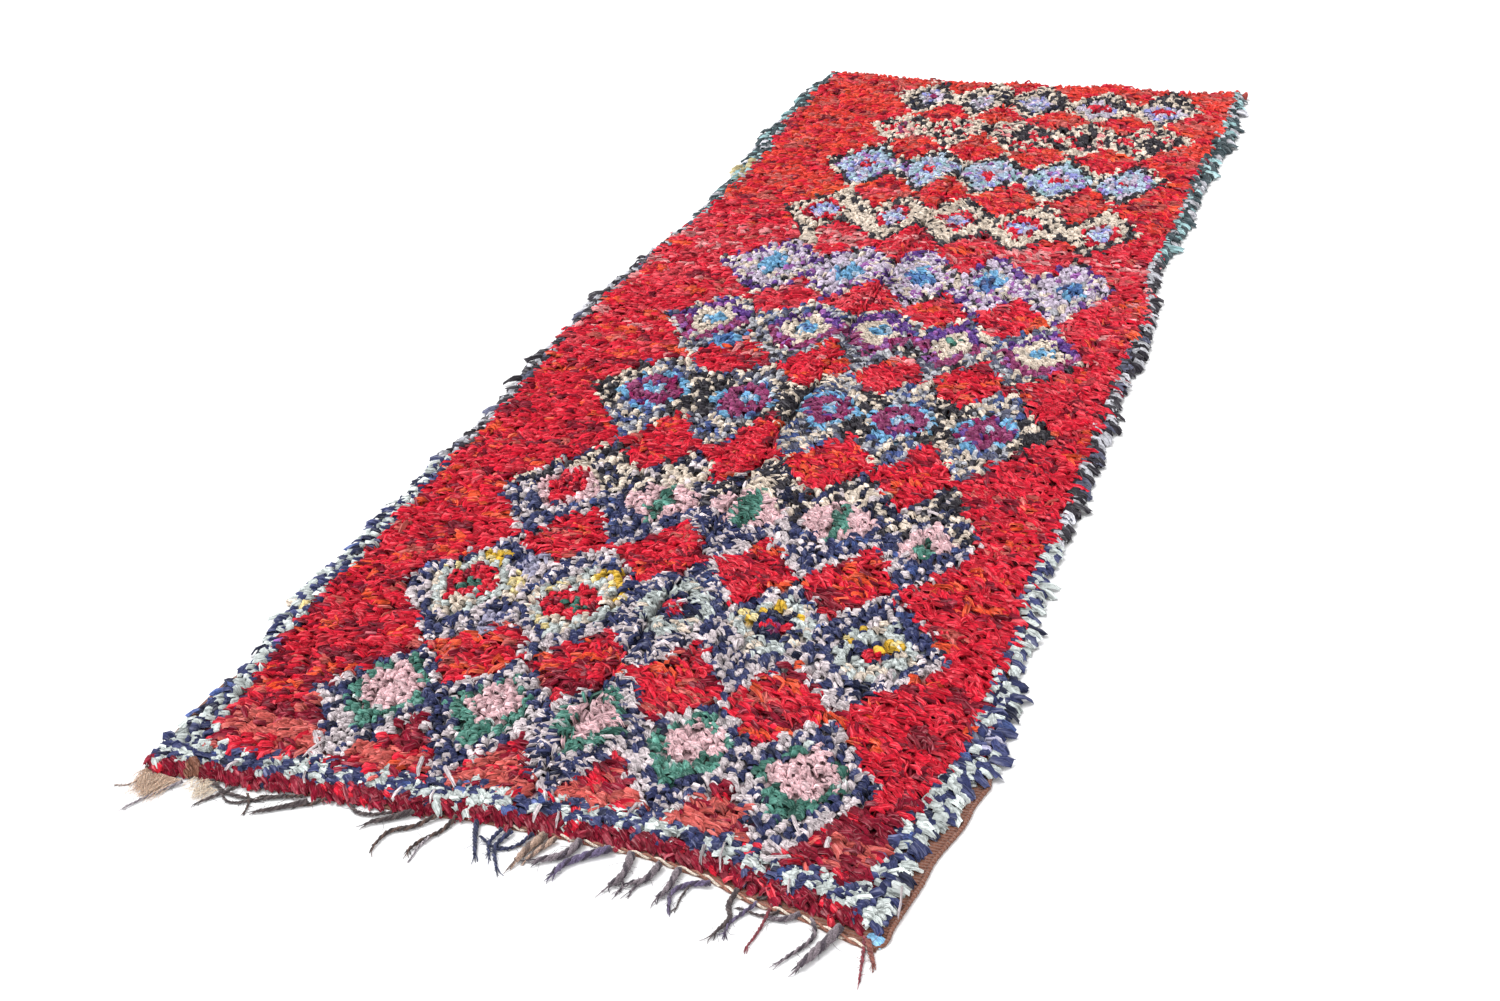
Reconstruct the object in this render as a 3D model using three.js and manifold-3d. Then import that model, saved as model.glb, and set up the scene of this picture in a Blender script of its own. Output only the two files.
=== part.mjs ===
// A shag rug of knotted rag strips on a woven ground, lying flat on a floor.
// Sizes are in millimetres. Along runs from the near end to the far end, and across runs to the right.
import * as THREE from "three";
import { mergeVertices } from "three/addons/utils/BufferGeometryUtils.js";
import Module from "manifold-3d";

const wasm = await Module();
wasm.setup();

// Points closer than this are one point.
const WELD = 1e-4;

// The middle of the whole rug, which becomes the origin.
const CENTRE = { across: 582, along: 1514 };

// The pile and the ground that it is knotted on.
const PILE_LENGTH = 3010;
const PILE_HEIGHT = 22;
const PILE_EDGE_HEIGHT = 14;
const PILE_LUMP = 5.5;
const PILE_FOOT = 1;
const GROUND_THICKNESS = 3.5;
const GROUND_LIP = 3;
const GROUND_END_LIP = 1.5;
const GROUND_STEPS = 44;
const FULL_MARGIN = 8;

// The rolled row that closes the near end, as heights of its section behind the edge.
const ROLL_SECTION = [
  { behind: 0, height: 6 },
  { behind: 6, height: 17 },
  { behind: 15, height: 21 },
  { behind: 23, height: 16 },
  { behind: 29, height: 11 },
];
const ROLL_LUMP_SHARE = 0.3;

// The steps of the lumpy top.
const LUMP_ACROSS = 52;
const LUMP_ALONG = 50;
const SHOULDER = 12;
const LUMP_SHIFT = 9;

// The lengthwise crest where the rug was folded, and the creases across it.
const CREST = { near: 592, far: 554, rise: 9, half: 27 };
const CREASES = [
  { along: 775, from: -60, to: 330, drop: 6 },
  { along: 1037, from: -60, to: 300, drop: 5 },
  { along: 1312, from: -60, to: 190, drop: 8 },
  { along: 770, from: 880, to: 1230, drop: 6 },
  { along: 2000, from: 0, to: 1140, drop: 4 },
];
const CREASE_HALF = 24;

// How far the border reaches on each side.
const SIDES = [
  { along: 0, left: -20, right: 1168 },
  { along: 130, left: -26, right: 1188 },
  { along: 250, left: -30, right: 1208 },
  { along: 370, left: -42, right: 1222 },
  { along: 450, left: -50, right: 1218 },
  { along: 620, left: -38, right: 1200 },
  { along: 900, left: -40, right: 1186 },
  { along: 1100, left: -35, right: 1190 },
  { along: 1320, left: -45, right: 1180 },
  { along: 1480, left: -46, right: 1170 },
  { along: 1640, left: -50, right: 1182 },
  { along: 1800, left: -34, right: 1166 },
  { along: 1960, left: -6, right: 1140 },
  { along: 2050, left: 0, right: 1134 },
  { along: 2150, left: -5, right: 1152 },
  { along: 2440, left: -12, right: 1150 },
  { along: 2620, left: -28, right: 1158 },
  { along: 2760, left: -18, right: 1172 },
  { along: 2920, left: -32, right: 1158 },
  { along: 3080, left: -12, right: 1148 },
];
const LAST_LEVEL = SIDES.at(-1).along;

// The width of bare ground outside the pile near the first corners.
const BARE = [
  { along: 0, left: 8, right: 22 },
  { along: 170, left: 14, right: 24 },
  { along: 260, left: 4, right: 14 },
  { along: 400, left: 0, right: 0 },
];

// The two end edges of the pile, which bow and wander.
const ENDS = [
  { across: -20, near: 0, far: 3078 },
  { across: 100, near: 12, far: 3080 },
  { across: 250, near: 24, far: 3060 },
  { across: 400, near: 34, far: 3057 },
  { across: 550, near: 50, far: 3058 },
  { across: 700, near: 58, far: 3062 },
  { across: 785, near: 61, far: 3088 },
  { across: 865, near: 54, far: 3062 },
  { across: 1000, near: 30, far: 3062 },
  { across: 1170, near: 10, far: 3082 },
];

// The locks at the rim. The rim locks start from `first` along, the far locks lie between
// `first` and `last` across.
const RIM_LOCK = { first: 42, spacing: 36, length: 24, root: 15, width: 25, foot: 1.6, splay: 0.4 };
const FAR_LOCK = {
  first: 30, last: 1130, spacing: 36, length: 16, root: 13, width: 27, foot: 7.6, splay: 0.25,
};
const LOCK_ROOT = { foot: 7, top: 13.5, wide: 0.62 };
const LOCK_TIP_THICKNESS = 5;
const LOCK_VARIES = { place: 0.22, length: 0.45, width: 0.28, lift: 1.5 };

// How much narrower a lock or a yarn end is at its top than at its foot.
const SECTION_WAIST = 0.72;

// The flat-woven strip at the near end, which holds the fringe.
const STRIP_THICKNESS = 3;
const PIECE_GAP = 0.4;
const NEAR_STRIP = [
  { across: -20, depth: 8 },
  { across: 250, depth: 12 },
  { across: 520, depth: 12 },
  { across: 800, depth: 18 },
  { across: 1000, depth: 24 },
  { across: 1174, depth: 26 },
];

// The knotted warp ends. Each row is a clump: reach is how far it lies out from the strip,
// and lean how far its tips lie to the right of its roots.
const NEAR_FRINGE = [
  { across: 4, strands: 4, reach: 40, lean: 3, width: 7 },
  { across: 56, strands: 1, reach: 74, lean: -26, width: 6 },
  { across: 92, strands: 3, reach: 38, lean: -14, width: 8 },
  { across: 152, strands: 3, reach: 40, lean: -30, width: 8 },
  { across: 214, strands: 3, reach: 42, lean: -36, width: 8 },
  { across: 266, strands: 2, reach: 38, lean: -36, width: 8 },
  { across: 440, strands: 1, reach: 34, lean: -44, width: 11 },
  { across: 476, strands: 1, reach: 72, lean: -50, width: 7 },
  { across: 508, strands: 2, reach: 84, lean: -32, width: 7 },
  { across: 542, strands: 3, reach: 58, lean: 20, width: 7 },
  { across: 592, strands: 3, reach: 70, lean: 4, width: 8 },
  { across: 626, strands: 1, reach: 46, lean: -14, width: 8 },
  { across: 648, strands: 2, reach: 46, lean: -20, width: 9 },
  { across: 692, strands: 2, reach: 50, lean: -36, width: 10 },
  { across: 736, strands: 2, reach: 58, lean: -34, width: 9 },
  { across: 780, strands: 2, reach: 64, lean: -4, width: 8 },
  { across: 826, strands: 1, reach: 52, lean: -20, width: 12 },
  { across: 858, strands: 2, reach: 54, lean: 4, width: 9 },
  { across: 905, strands: 1, reach: 58, lean: -24, width: 6 },
  { across: 946, strands: 2, reach: 76, lean: 6, width: 7 },
  { across: 980, strands: 1, reach: 54, lean: -26, width: 6 },
  { across: 1006, strands: 1, reach: 76, lean: -8, width: 6 },
  { across: 1072, strands: 1, reach: 74, lean: -18, width: 7 },
  { across: 1104, strands: 2, reach: 74, lean: -28, width: 11 },
  { across: 1142, strands: 2, reach: 56, lean: 16, width: 6 },
];
const CLUMP_PITCH = 1.6;
const YARN_ROOT = 5;
const YARN_FLATNESS = 0.75;
const YARN_VARIES = { reach: 0.14, lean: 0.05, bend: 3 };

const FAR_STRIP_DEPTH = 7;
const FAR_FRINGE = [
  { across: 24, reach: 22, lean: -6 },
  { across: 62, reach: 14, lean: -8 },
  { across: 78, reach: 10, lean: -6 },
  { across: 126, reach: 12, lean: 3 },
  { across: 186, reach: 10, lean: -4 },
  { across: 246, reach: 38, lean: -5 },
  { across: 312, reach: 9, lean: 6 },
  { across: 392, reach: 8, lean: -4 },
  { across: 442, reach: 20, lean: 2 },
  { across: 520, reach: 18, lean: -3 },
  { across: 552, reach: 22, lean: 3 },
  { across: 582, reach: 20, lean: -4 },
  { across: 630, reach: 16, lean: 5 },
  { across: 674, reach: 28, lean: 4 },
  { across: 732, reach: 10, lean: -4 },
  { across: 788, reach: 28, lean: 2 },
  { across: 850, reach: 12, lean: -3 },
  { across: 912, reach: 16, lean: -5 },
  { across: 960, reach: 20, lean: 2 },
  { across: 1024, reach: 40, lean: -3 },
  { across: 1066, reach: 10, lean: 4 },
  { across: 1090, reach: 20, lean: -3 },
  { across: 1112, reach: 16, lean: 6 },
];
const FAR_TUFT = { width: 10, height: 7 };
const TUFT_ROOT = 4;

// The sections of a yarn end and of a tuft, from the root inside the strip to the tip.
const YARN_SHAPE = [
  { share: 0, wide: 0.7, foot: 0.6, high: 0.3 },
  { share: 0.28, wide: 0.9, foot: 0, high: 0.9 },
  { share: 0.82, wide: 1.25, foot: 0, high: 1 },
  { share: 1, wide: 0.5, foot: 0, high: 0.4 },
];
const TUFT_SHAPE = [
  { share: 0, wide: 0.6, foot: 0.6, high: 0.25 },
  { share: 0.55, wide: 1, foot: 0, high: 1 },
  { share: 1, wide: 0.6, foot: 0, high: 0.5 },
];

// Each thing that varies draws from its own row of repeatable numbers, and the right
// side's locks draw further along it than the left side's.
const DRAW = {
  place: 1, splay: 2, farSplay: 3, length: 5, width: 6, lift: 7,
  reach: 21, lean: 22, bend: 23, tuftBend: 31,
};
const RIGHT_SEEDS = 500;
const CLUMP_SEEDS = 7;
const TOP_DRAW = { across: 3, along: 11 };
const SHIFT_DRAW = { across: 40, along: 70 };

// Helpers.

// A repeatable number from -1 to 1 for a pair of whole numbers.
function wobble(a, b) {
  const s = Math.sin(a * 127.1 + b * 311.7) * 43758.5453;
  return 2 * (s - Math.floor(s)) - 1;
}

// A column of a table read between its rows, eased from row to row.
function read(table, key, at, column) {
  const last = table.length - 1;
  if (at <= table[0][key]) return table[0][column];
  if (at >= table[last][key]) return table[last][column];
  const i = table.findIndex((row) => row[key] > at);
  const [a, b] = [table[i - 1], table[i]];
  const t = (at - a[key]) / (b[key] - a[key]);
  const eased = (1 - Math.cos(Math.PI * t)) / 2;
  return a[column] + (b[column] - a[column]) * eased;
}

const bare = (side, along) => read(BARE, "along", along, side);
const inward = { left: 1, right: -1 };
const lockTip = (side, along) =>
  read(SIDES, "along", along, side) + inward[side] * bare(side, along);
const pileEdge = (side, along) => lockTip(side, along) + inward[side] * RIM_LOCK.length;
const nearEdge = (across) => read(ENDS, "across", across, "near");
const farEdge = (across) => read(ENDS, "across", across, "far");

// The woven ground reaches a small lip past the pile, and all of the way where it is bare.
function groundEdge(side, along) {
  const share = Math.min(1, bare(side, along) / FULL_MARGIN);
  const past = GROUND_LIP + (RIM_LOCK.length + bare(side, along) - GROUND_LIP) * share;
  return pileEdge(side, along) - inward[side] * past;
}

// The stations across an end of the ground: its two corners and the pile's own.
function endStations(level) {
  return [groundEdge("left", level), ...acrossStations(level), groundEdge("right", level)];
}

// A closed solid from four-cornered sections of the same order.
function loft(sections) {
  const corners = sections[0].length;
  const points = sections.flat().flatMap((p) => [p.x, p.y, p.z]);
  const faces = [];
  for (let s = 0; s < sections.length - 1; s++) {
    for (let c = 0; c < corners; c++) {
      const a = s * corners + c;
      const b = s * corners + ((c + 1) % corners);
      faces.push(a, b, b + corners, a, b + corners, a + corners);
    }
  }
  const end = (sections.length - 1) * corners;
  for (let c = 1; c < corners - 1; c++) {
    faces.push(0, c + 1, c, end, end + c, end + c + 1);
  }
  const geometry = new THREE.BufferGeometry();
  geometry.setAttribute("position", new THREE.Float32BufferAttribute(points, 3));
  geometry.setIndex(faces);
  return geometry;
}

function solidOf(geometry) {
  geometry.deleteAttribute("normal");
  geometry.deleteAttribute("uv");
  const merged = mergeVertices(geometry, WELD);
  return new wasm.Manifold(
    new wasm.Mesh({
      numProp: 3,
      vertProperties: new Float32Array(merged.attributes.position.array),
      triVerts: new Uint32Array(merged.index.array),
    }),
  );
}

function geometryOf(solid) {
  const mesh = solid.getMesh();
  const geometry = new THREE.BufferGeometry();
  geometry.setAttribute("position", new THREE.BufferAttribute(mesh.vertProperties, 3));
  geometry.setIndex(new THREE.BufferAttribute(mesh.triVerts, 1));
  geometry.computeVertexNormals();
  return geometry;
}

// A four-cornered section across a heading, narrower at its top than at its foot.
function section(across, along, heading, width, foot, top) {
  const side = { x: Math.sin(heading), y: -Math.cos(heading) };
  const corner = (s, z) =>
    new THREE.Vector3(across + side.x * s, along + side.y * s, z);
  const half = width / 2;
  return [
    corner(-half, foot),
    corner(-half * SECTION_WAIST, top),
    corner(half * SECTION_WAIST, top),
    corner(half, foot),
  ];
}

// Pile.

// The stations across at one place along: even steps to each side of the crest.
function acrossStations(along) {
  const left = pileEdge("left", along);
  const right = pileEdge("right", along);
  const crest = THREE.MathUtils.mapLinear(along, 0, PILE_LENGTH, CREST.near, CREST.far);
  const steps = Math.round((CREST.near - SHOULDER) / LUMP_ACROSS);
  const stations = [left];
  for (let i = 0; i <= steps; i++) {
    stations.push(THREE.MathUtils.lerp(left + SHOULDER, crest - CREST.half, i / steps));
  }
  stations.push(crest);
  for (let i = 0; i <= steps; i++) {
    stations.push(THREE.MathUtils.lerp(crest + CREST.half, right - SHOULDER, i / steps));
  }
  stations.push(right);
  return stations;
}

function alongStations() {
  const rolled = ROLL_SECTION.map((row) => row.behind);
  const start = rolled.at(-1) + SHOULDER;
  const end = PILE_LENGTH - SHOULDER;
  const steps = Math.round((end - start) / LUMP_ALONG);
  const even = Array.from({ length: steps + 1 }, (_, i) =>
    THREE.MathUtils.lerp(start, end, i / steps),
  );
  return [...rolled, ...even, PILE_LENGTH];
}

function pileTop(across, along, i, j, columns) {
  const atSide = i === 0 || i === columns - 1;
  const rolled = ROLL_SECTION[j];
  const lump = PILE_LUMP * wobble(i + TOP_DRAW.across, j + TOP_DRAW.along);
  let height = rolled ? rolled.height + lump * ROLL_LUMP_SHARE : PILE_HEIGHT + lump;
  if (!rolled) {
    const crest = THREE.MathUtils.mapLinear(along, 0, PILE_LENGTH, CREST.near, CREST.far);
    height += CREST.rise * Math.exp(-(((across - crest) / CREST.half) ** 2));
    for (const crease of CREASES) {
      const inside = across > crease.from && across < crease.to;
      const near = Math.exp(-(((along - crease.along) / CREASE_HALF) ** 2));
      if (inside) height -= crease.drop * near;
    }
  }
  return atSide ? Math.min(height, PILE_EDGE_HEIGHT) : height;
}

// The lumpy slab: a stepped top on upright edges, closed by a flat foot.
function pileSlab() {
  const rows = alongStations();
  const columns = acrossStations(0).length;
  const points = [];
  rows.forEach((behind, j) => {
    const level = (behind / PILE_LENGTH) * LAST_LEVEL;
    acrossStations(level).forEach((station, i) => {
      const inner = i > 1 && i < columns - 2 && j > ROLL_SECTION.length;
      const open = inner && j < rows.length - 2;
      const across = station + (open ? LUMP_SHIFT * wobble(i, j + SHIFT_DRAW.across) : 0);
      const reach = (farEdge(across) - nearEdge(across)) / PILE_LENGTH;
      const shift = open ? LUMP_SHIFT * wobble(i + SHIFT_DRAW.along, j) : 0;
      const along = nearEdge(across) + behind * reach + shift;
      const last = j === rows.length - 1;
      const top = last ? PILE_EDGE_HEIGHT : pileTop(across, along, i, j, columns);
      points.push(new THREE.Vector3(across, along, top));
    });
  });
  const at = (i, j) => j * columns + i;
  const faces = [];
  for (let j = 0; j < rows.length - 1; j++) {
    for (let i = 0; i < columns - 1; i++) {
      const [a, b, c, d] = [at(i, j), at(i + 1, j), at(i + 1, j + 1), at(i, j + 1)];
      if ((i + j) % 2) faces.push(a, b, c, a, c, d);
      else faces.push(a, b, d, b, c, d);
    }
  }
  // The rim runs once round, counter-clockwise from above.
  const rim = [];
  for (let i = 0; i < columns - 1; i++) rim.push(at(i, 0));
  for (let j = 0; j < rows.length - 1; j++) rim.push(at(columns - 1, j));
  for (let i = columns - 1; i > 0; i--) rim.push(at(i, rows.length - 1));
  for (let j = rows.length - 1; j > 0; j--) rim.push(at(0, j));
  const foot = points.length;
  for (const index of rim) {
    points.push(new THREE.Vector3(points[index].x, points[index].y, PILE_FOOT));
  }
  rim.forEach((index, k) => {
    const next = (k + 1) % rim.length;
    faces.push(index, foot + k, foot + next, index, foot + next, rim[next]);
  });
  const outline = rim.map((index) => new THREE.Vector2(points[index].x, points[index].y));
  for (const [a, b, c] of THREE.ShapeUtils.triangulateShape(outline, [])) {
    faces.push(foot + a, foot + c, foot + b);
  }
  const geometry = new THREE.BufferGeometry();
  const flat = points.flatMap((p) => [p.x, p.y, p.z]);
  geometry.setAttribute("position", new THREE.Float32BufferAttribute(flat, 3));
  geometry.setIndex(faces);
  return solidOf(geometry);
}

// The woven ground, one flat sheet under the pile.
function groundSheet() {
  const side = (name, k) => {
    const share = k / GROUND_STEPS;
    const across = groundEdge(name, share * LAST_LEVEL);
    return [across, THREE.MathUtils.lerp(nearEdge(across), farEdge(across), share)];
  };
  const steps = Array.from({ length: GROUND_STEPS - 1 }, (_, k) => k + 1);
  const near = endStations(0).map((x) => [x, nearEdge(x) - GROUND_END_LIP]);
  const far = endStations(LAST_LEVEL).map((x) => [x, farEdge(x) + GROUND_END_LIP]);
  const right = steps.map((k) => side("right", k));
  const left = steps.map((k) => side("left", k));
  const shape = new THREE.Shape();
  [...near, ...right, ...far.reverse(), ...left.reverse()].forEach(([x, y], k) => {
    if (k) shape.lineTo(x, y);
    else shape.moveTo(x, y);
  });
  shape.closePath();
  const sheet = { depth: GROUND_THICKNESS, bevelEnabled: false };
  return solidOf(new THREE.ExtrudeGeometry(shape, sheet));
}

// One rag lock: it leaves the pile at its root, widens, and ends in a flat cut.
function lock(across, along, heading, size, seed) {
  const long = size.length * (1 + LOCK_VARIES.length * wobble(seed, DRAW.length));
  const wide = size.width * (1 + LOCK_VARIES.width * wobble(seed, DRAW.width));
  const lift = LOCK_VARIES.lift * wobble(seed, DRAW.lift);
  const step = (run, width, foot, top) =>
    section(
      across + Math.cos(heading) * run,
      along + Math.sin(heading) * run,
      heading, width, foot, top,
    );
  return solidOf(
    loft([
      step(-size.root, wide * LOCK_ROOT.wide, LOCK_ROOT.foot, LOCK_ROOT.top),
      step(long, wide, size.foot, size.foot + LOCK_TIP_THICKNESS + lift),
    ]),
  );
}

function rimLocks() {
  const made = [];
  const count = Math.floor(PILE_LENGTH / RIM_LOCK.spacing);
  for (const side of ["left", "right"]) {
    for (let k = 0; k < count; k++) {
      const seed = side === "left" ? k : k + RIGHT_SEEDS;
      const place = k + LOCK_VARIES.place * wobble(seed, DRAW.place);
      const along = RIM_LOCK.first + RIM_LOCK.spacing * place;
      const outward = side === "left" ? Math.PI : 0;
      const heading = outward + RIM_LOCK.splay * wobble(seed, DRAW.splay);
      made.push(lock(pileEdge(side, along), along, heading, RIM_LOCK, seed));
    }
  }
  for (let across = FAR_LOCK.first; across < FAR_LOCK.last; across += FAR_LOCK.spacing) {
    const heading = Math.PI / 2 + FAR_LOCK.splay * wobble(across, DRAW.farSplay);
    made.push(lock(across, farEdge(across), heading, FAR_LOCK, across));
  }
  return made;
}

function rugBody() {
  const woven = pileSlab().add(groundSheet());
  return rimLocks().reduce((whole, piece) => whole.add(piece), woven);
}

// Fringes.

// A flat strip between two curves, with a section at each station.
function strip(stations, inner, outer) {
  const sections = stations.map((across) => {
    const [low, high] = [inner(across), outer(across)].sort((a, b) => a - b);
    return [
      new THREE.Vector3(across, high, 0),
      new THREE.Vector3(across, high, STRIP_THICKNESS),
      new THREE.Vector3(across, low, STRIP_THICKNESS),
      new THREE.Vector3(across, low, 0),
    ];
  });
  return solidOf(loft(sections));
}

// A curve read on the straight facet between the two stations on either side.
function onFacet(stations, curve, across) {
  const above = stations.findIndex((station) => station > across);
  const i = above < 1 ? stations.length - 1 : above;
  const [a, b] = [stations[i - 1], stations[i]];
  return THREE.MathUtils.mapLinear(across, a, b, curve(a), curve(b));
}

// One yarn end on the floor, from its root in the strip to its knotted tip.
function strand(root, tip, bend, size, shape) {
  const path = new THREE.QuadraticBezierCurve(
    root,
    new THREE.Vector2((root.x + tip.x) / 2 + bend, (root.y + tip.y) / 2),
    tip,
  );
  const sections = shape.map((row) => {
    const at = path.getPoint(row.share);
    const going = path.getTangent(row.share);
    const heading = Math.atan2(going.y, going.x);
    const wide = size.width * row.wide;
    return section(at.x, at.y, heading, wide, row.foot, row.foot + size.height * row.high);
  });
  return solidOf(loft(sections));
}

const nearStripTop = (across) => nearEdge(across) - GROUND_END_LIP - PIECE_GAP;
const nearStripEdge = (across) =>
  nearStripTop(across) - read(NEAR_STRIP, "across", across, "depth");
const farStripFoot = (across) => farEdge(across) + GROUND_END_LIP + PIECE_GAP;
const farStripEdge = (across) => farStripFoot(across) + FAR_STRIP_DEPTH;

function nearFringe() {
  const stations = endStations(0);
  let whole = strip(stations, nearStripTop, nearStripEdge);
  for (const clump of NEAR_FRINGE) {
    for (let k = 0; k < clump.strands; k++) {
      const seed = clump.across * CLUMP_SEEDS + k;
      const offset = (k - (clump.strands - 1) / 2) * clump.width * CLUMP_PITCH;
      const across = clump.across + offset;
      const edge = onFacet(stations, nearStripEdge, across);
      const reach = clump.reach * (1 + YARN_VARIES.reach * wobble(seed, DRAW.reach));
      const lean = clump.lean * (1 + YARN_VARIES.lean * wobble(seed, DRAW.lean));
      const root = new THREE.Vector2(across, edge + YARN_ROOT);
      const tip = new THREE.Vector2(across + lean, edge - reach);
      const bend = YARN_VARIES.bend * wobble(seed, DRAW.bend);
      const size = { width: clump.width, height: clump.width * YARN_FLATNESS };
      whole = whole.add(strand(root, tip, bend, size, YARN_SHAPE));
    }
  }
  return whole;
}

function farFringe() {
  const stations = endStations(LAST_LEVEL);
  let whole = strip(stations, farStripFoot, farStripEdge);
  for (const tuft of FAR_FRINGE) {
    const edge = onFacet(stations, farStripEdge, tuft.across);
    const root = new THREE.Vector2(tuft.across, edge - TUFT_ROOT);
    const tip = new THREE.Vector2(tuft.across + tuft.lean, edge + tuft.reach);
    const bend = YARN_VARIES.bend * wobble(tuft.across, DRAW.tuftBend);
    whole = whole.add(strand(root, tip, bend, FAR_TUFT, TUFT_SHAPE));
  }
  return whole;
}

// The rug.

const FINISHES = {
  rug_body: { color: 0xc23038, roughness: 0.95 },
  fringe_near: { color: 0x6b5148, roughness: 0.9 },
  fringe_far: { color: 0x4a4245, roughness: 0.9 },
};
const SOLIDS = { rug_body: rugBody(), fringe_near: nearFringe(), fringe_far: farFringe() };

const rug = new THREE.Group();
for (const [name, solid] of Object.entries(SOLIDS)) {
  const material = new THREE.MeshStandardMaterial({ ...FINISHES[name], metalness: 0 });
  const mesh = new THREE.Mesh(geometryOf(solid), material);
  mesh.name = name;
  rug.add(mesh);
}
rug.position.set(-CENTRE.across, -CENTRE.along, 0);

export default rug;
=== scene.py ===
# %% [markdown]
# A boucherouite rug is knotted from rags: strips of worn cotton jersey are looped
# round the warp, row by row, and their ends are left as a thick crumpled pile.
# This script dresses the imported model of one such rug. The frame comes first,
# because every piece has to lie where the model says, in the same metres.

# %% Load the frame
import math

import bpy
import numpy as np
from mathutils import Matrix, Vector


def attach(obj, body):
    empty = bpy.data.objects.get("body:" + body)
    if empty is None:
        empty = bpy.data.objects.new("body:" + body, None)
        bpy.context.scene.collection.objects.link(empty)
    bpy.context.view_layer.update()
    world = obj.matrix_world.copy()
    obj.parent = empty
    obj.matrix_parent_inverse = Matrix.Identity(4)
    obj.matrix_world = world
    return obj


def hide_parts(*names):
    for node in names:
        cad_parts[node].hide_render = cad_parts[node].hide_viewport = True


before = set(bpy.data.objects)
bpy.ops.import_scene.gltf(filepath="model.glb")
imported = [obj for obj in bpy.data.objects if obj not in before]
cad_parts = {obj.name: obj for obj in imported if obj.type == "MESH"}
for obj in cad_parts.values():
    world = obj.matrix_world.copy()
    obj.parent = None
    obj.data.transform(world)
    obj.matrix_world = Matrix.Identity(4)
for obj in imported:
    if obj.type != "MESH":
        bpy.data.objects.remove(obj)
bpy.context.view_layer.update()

# %% [markdown]
# A rug is charted along its length and across its width, so the script works in
# the weaver's millimetres: `across` runs to the right and `along` runs from the
# near end to the far end. One function turns such points into metres about the
# middle of the rug. The edges wander, so they are short tables that are read
# with an easing from row to row, which gives a soft curve through few points.

# %% Measure in the rug's own millimetres
CENTRE = (582, 1514)
PILE_LENGTH = 3010
LAST_LEVEL = 3080

SIDES = {
    "along": (0, 130, 250, 370, 450, 620, 900, 1100, 1320, 1480, 1640, 1800, 1960,
              2050, 2150, 2440, 2620, 2760, 2920, 3080),
    "left": (-27, -36, -32, -46, -58, -48, -49, -40, -54, -48, -59, -43, -8,
             -2, -10, -21, -39, -29, -43, -24),
    "right": (1164, 1178, 1200, 1220, 1214, 1191, 1178, 1176, 1174, 1161, 1175, 1156, 1130,
              1124, 1143, 1145, 1146, 1163, 1149, 1144),
}
BARE = {"along": (0, 170, 260, 400), "left": (8, 14, 4, 0), "right": (10, 20, 12, 0)}
ENDS = {
    "across": (-20, 100, 250, 400, 550, 700, 785, 865, 1000, 1170),
    "near": (21, 33, 45, 55, 71, 79, 81, 73, 47, 22),
    "far": (3078, 3080, 3060, 3057, 3058, 3062, 3088, 3062, 3062, 3082),
}


def read(table, key, at, column):
    """A column of a table at the places `at`, eased from row to row."""
    keys = np.array(table[key], float)
    values = np.array(table[column], float)
    at = np.asarray(at, float)
    row = np.clip(np.searchsorted(keys, at, "right") - 1, 0, len(keys) - 2)
    share = np.clip((at - keys[row]) / (keys[row + 1] - keys[row]), 0, 1)
    eased = (1 - np.cos(np.pi * share)) / 2
    return values[row] + (values[row + 1] - values[row]) * eased


def in_metres(points):
    """Points of the rug in millimetres, as metres about its middle."""
    return (np.asarray(points, float) - (*CENTRE, 0)) / 1000


def near_edge(across):
    return read(ENDS, "across", across, "near")


def far_edge(across):
    return read(ENDS, "across", across, "far")


def side_reach(side, along):
    """How far the locks of a side reach across, inside the bare ground."""
    inward = {"left": 1, "right": -1}[side]
    return read(SIDES, "along", along, side) + inward * read(BARE, "along", along, side)


print("pile is", round(float(side_reach("right", 900) - side_reach("left", 900))), "mm wide")

# %% [markdown]
# The photograph was taken from off the near right corner. A camera is easiest to
# trust when it is built from three angles: where it looks, how far it looks down,
# and how much the picture is tilted.

# %% Set the camera
CAMERA_PLACE = (1.167, -3.041, 1.732)
CAMERA_TURN = math.radians(-24.92)
CAMERA_DOWN = math.radians(32.3)
CAMERA_ROLL = math.radians(-5.77)
LENS = 43.2
SENSOR_WIDTH = 36

ahead = Vector((
    math.sin(CAMERA_TURN) * math.cos(CAMERA_DOWN),
    math.cos(CAMERA_TURN) * math.cos(CAMERA_DOWN),
    -math.sin(CAMERA_DOWN),
))
level_right = ahead.cross(Vector((0, 0, 1))).normalized()
level_up = level_right.cross(ahead)
camera_right = level_right * math.cos(CAMERA_ROLL) + level_up * math.sin(CAMERA_ROLL)
camera_up = camera_right.cross(ahead)

camera = bpy.data.objects.new("camera", bpy.data.cameras.new("camera"))
camera.data.lens = LENS
camera.data.sensor_width = SENSOR_WIDTH
turn = Matrix((camera_right, camera_up, -ahead)).transposed().to_4x4()
camera.matrix_world = Matrix.Translation(CAMERA_PLACE) @ turn
bpy.context.scene.collection.objects.link(camera)
bpy.context.scene.camera = camera
print("camera looks along", tuple(round(v, 3) for v in ahead))

# %% [markdown]
# The studio is a pale floor under soft light from all round, with one broad lamp
# high on the left that gives each rag a lit side and a dark crevice below it.

# %% Build the studio
SKY_STRENGTH = 1.05
SUN_STRENGTH = 1.9
SUN_SPREAD = math.radians(32)
SUN_FROM = Vector((-0.55, 0.15, 1.0))
FLOOR_SIZE = 60
FLOOR_COLOUR = (0.9, 0.9, 0.91, 1)
FLOOR_ROUGHNESS = 0.9


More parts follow.
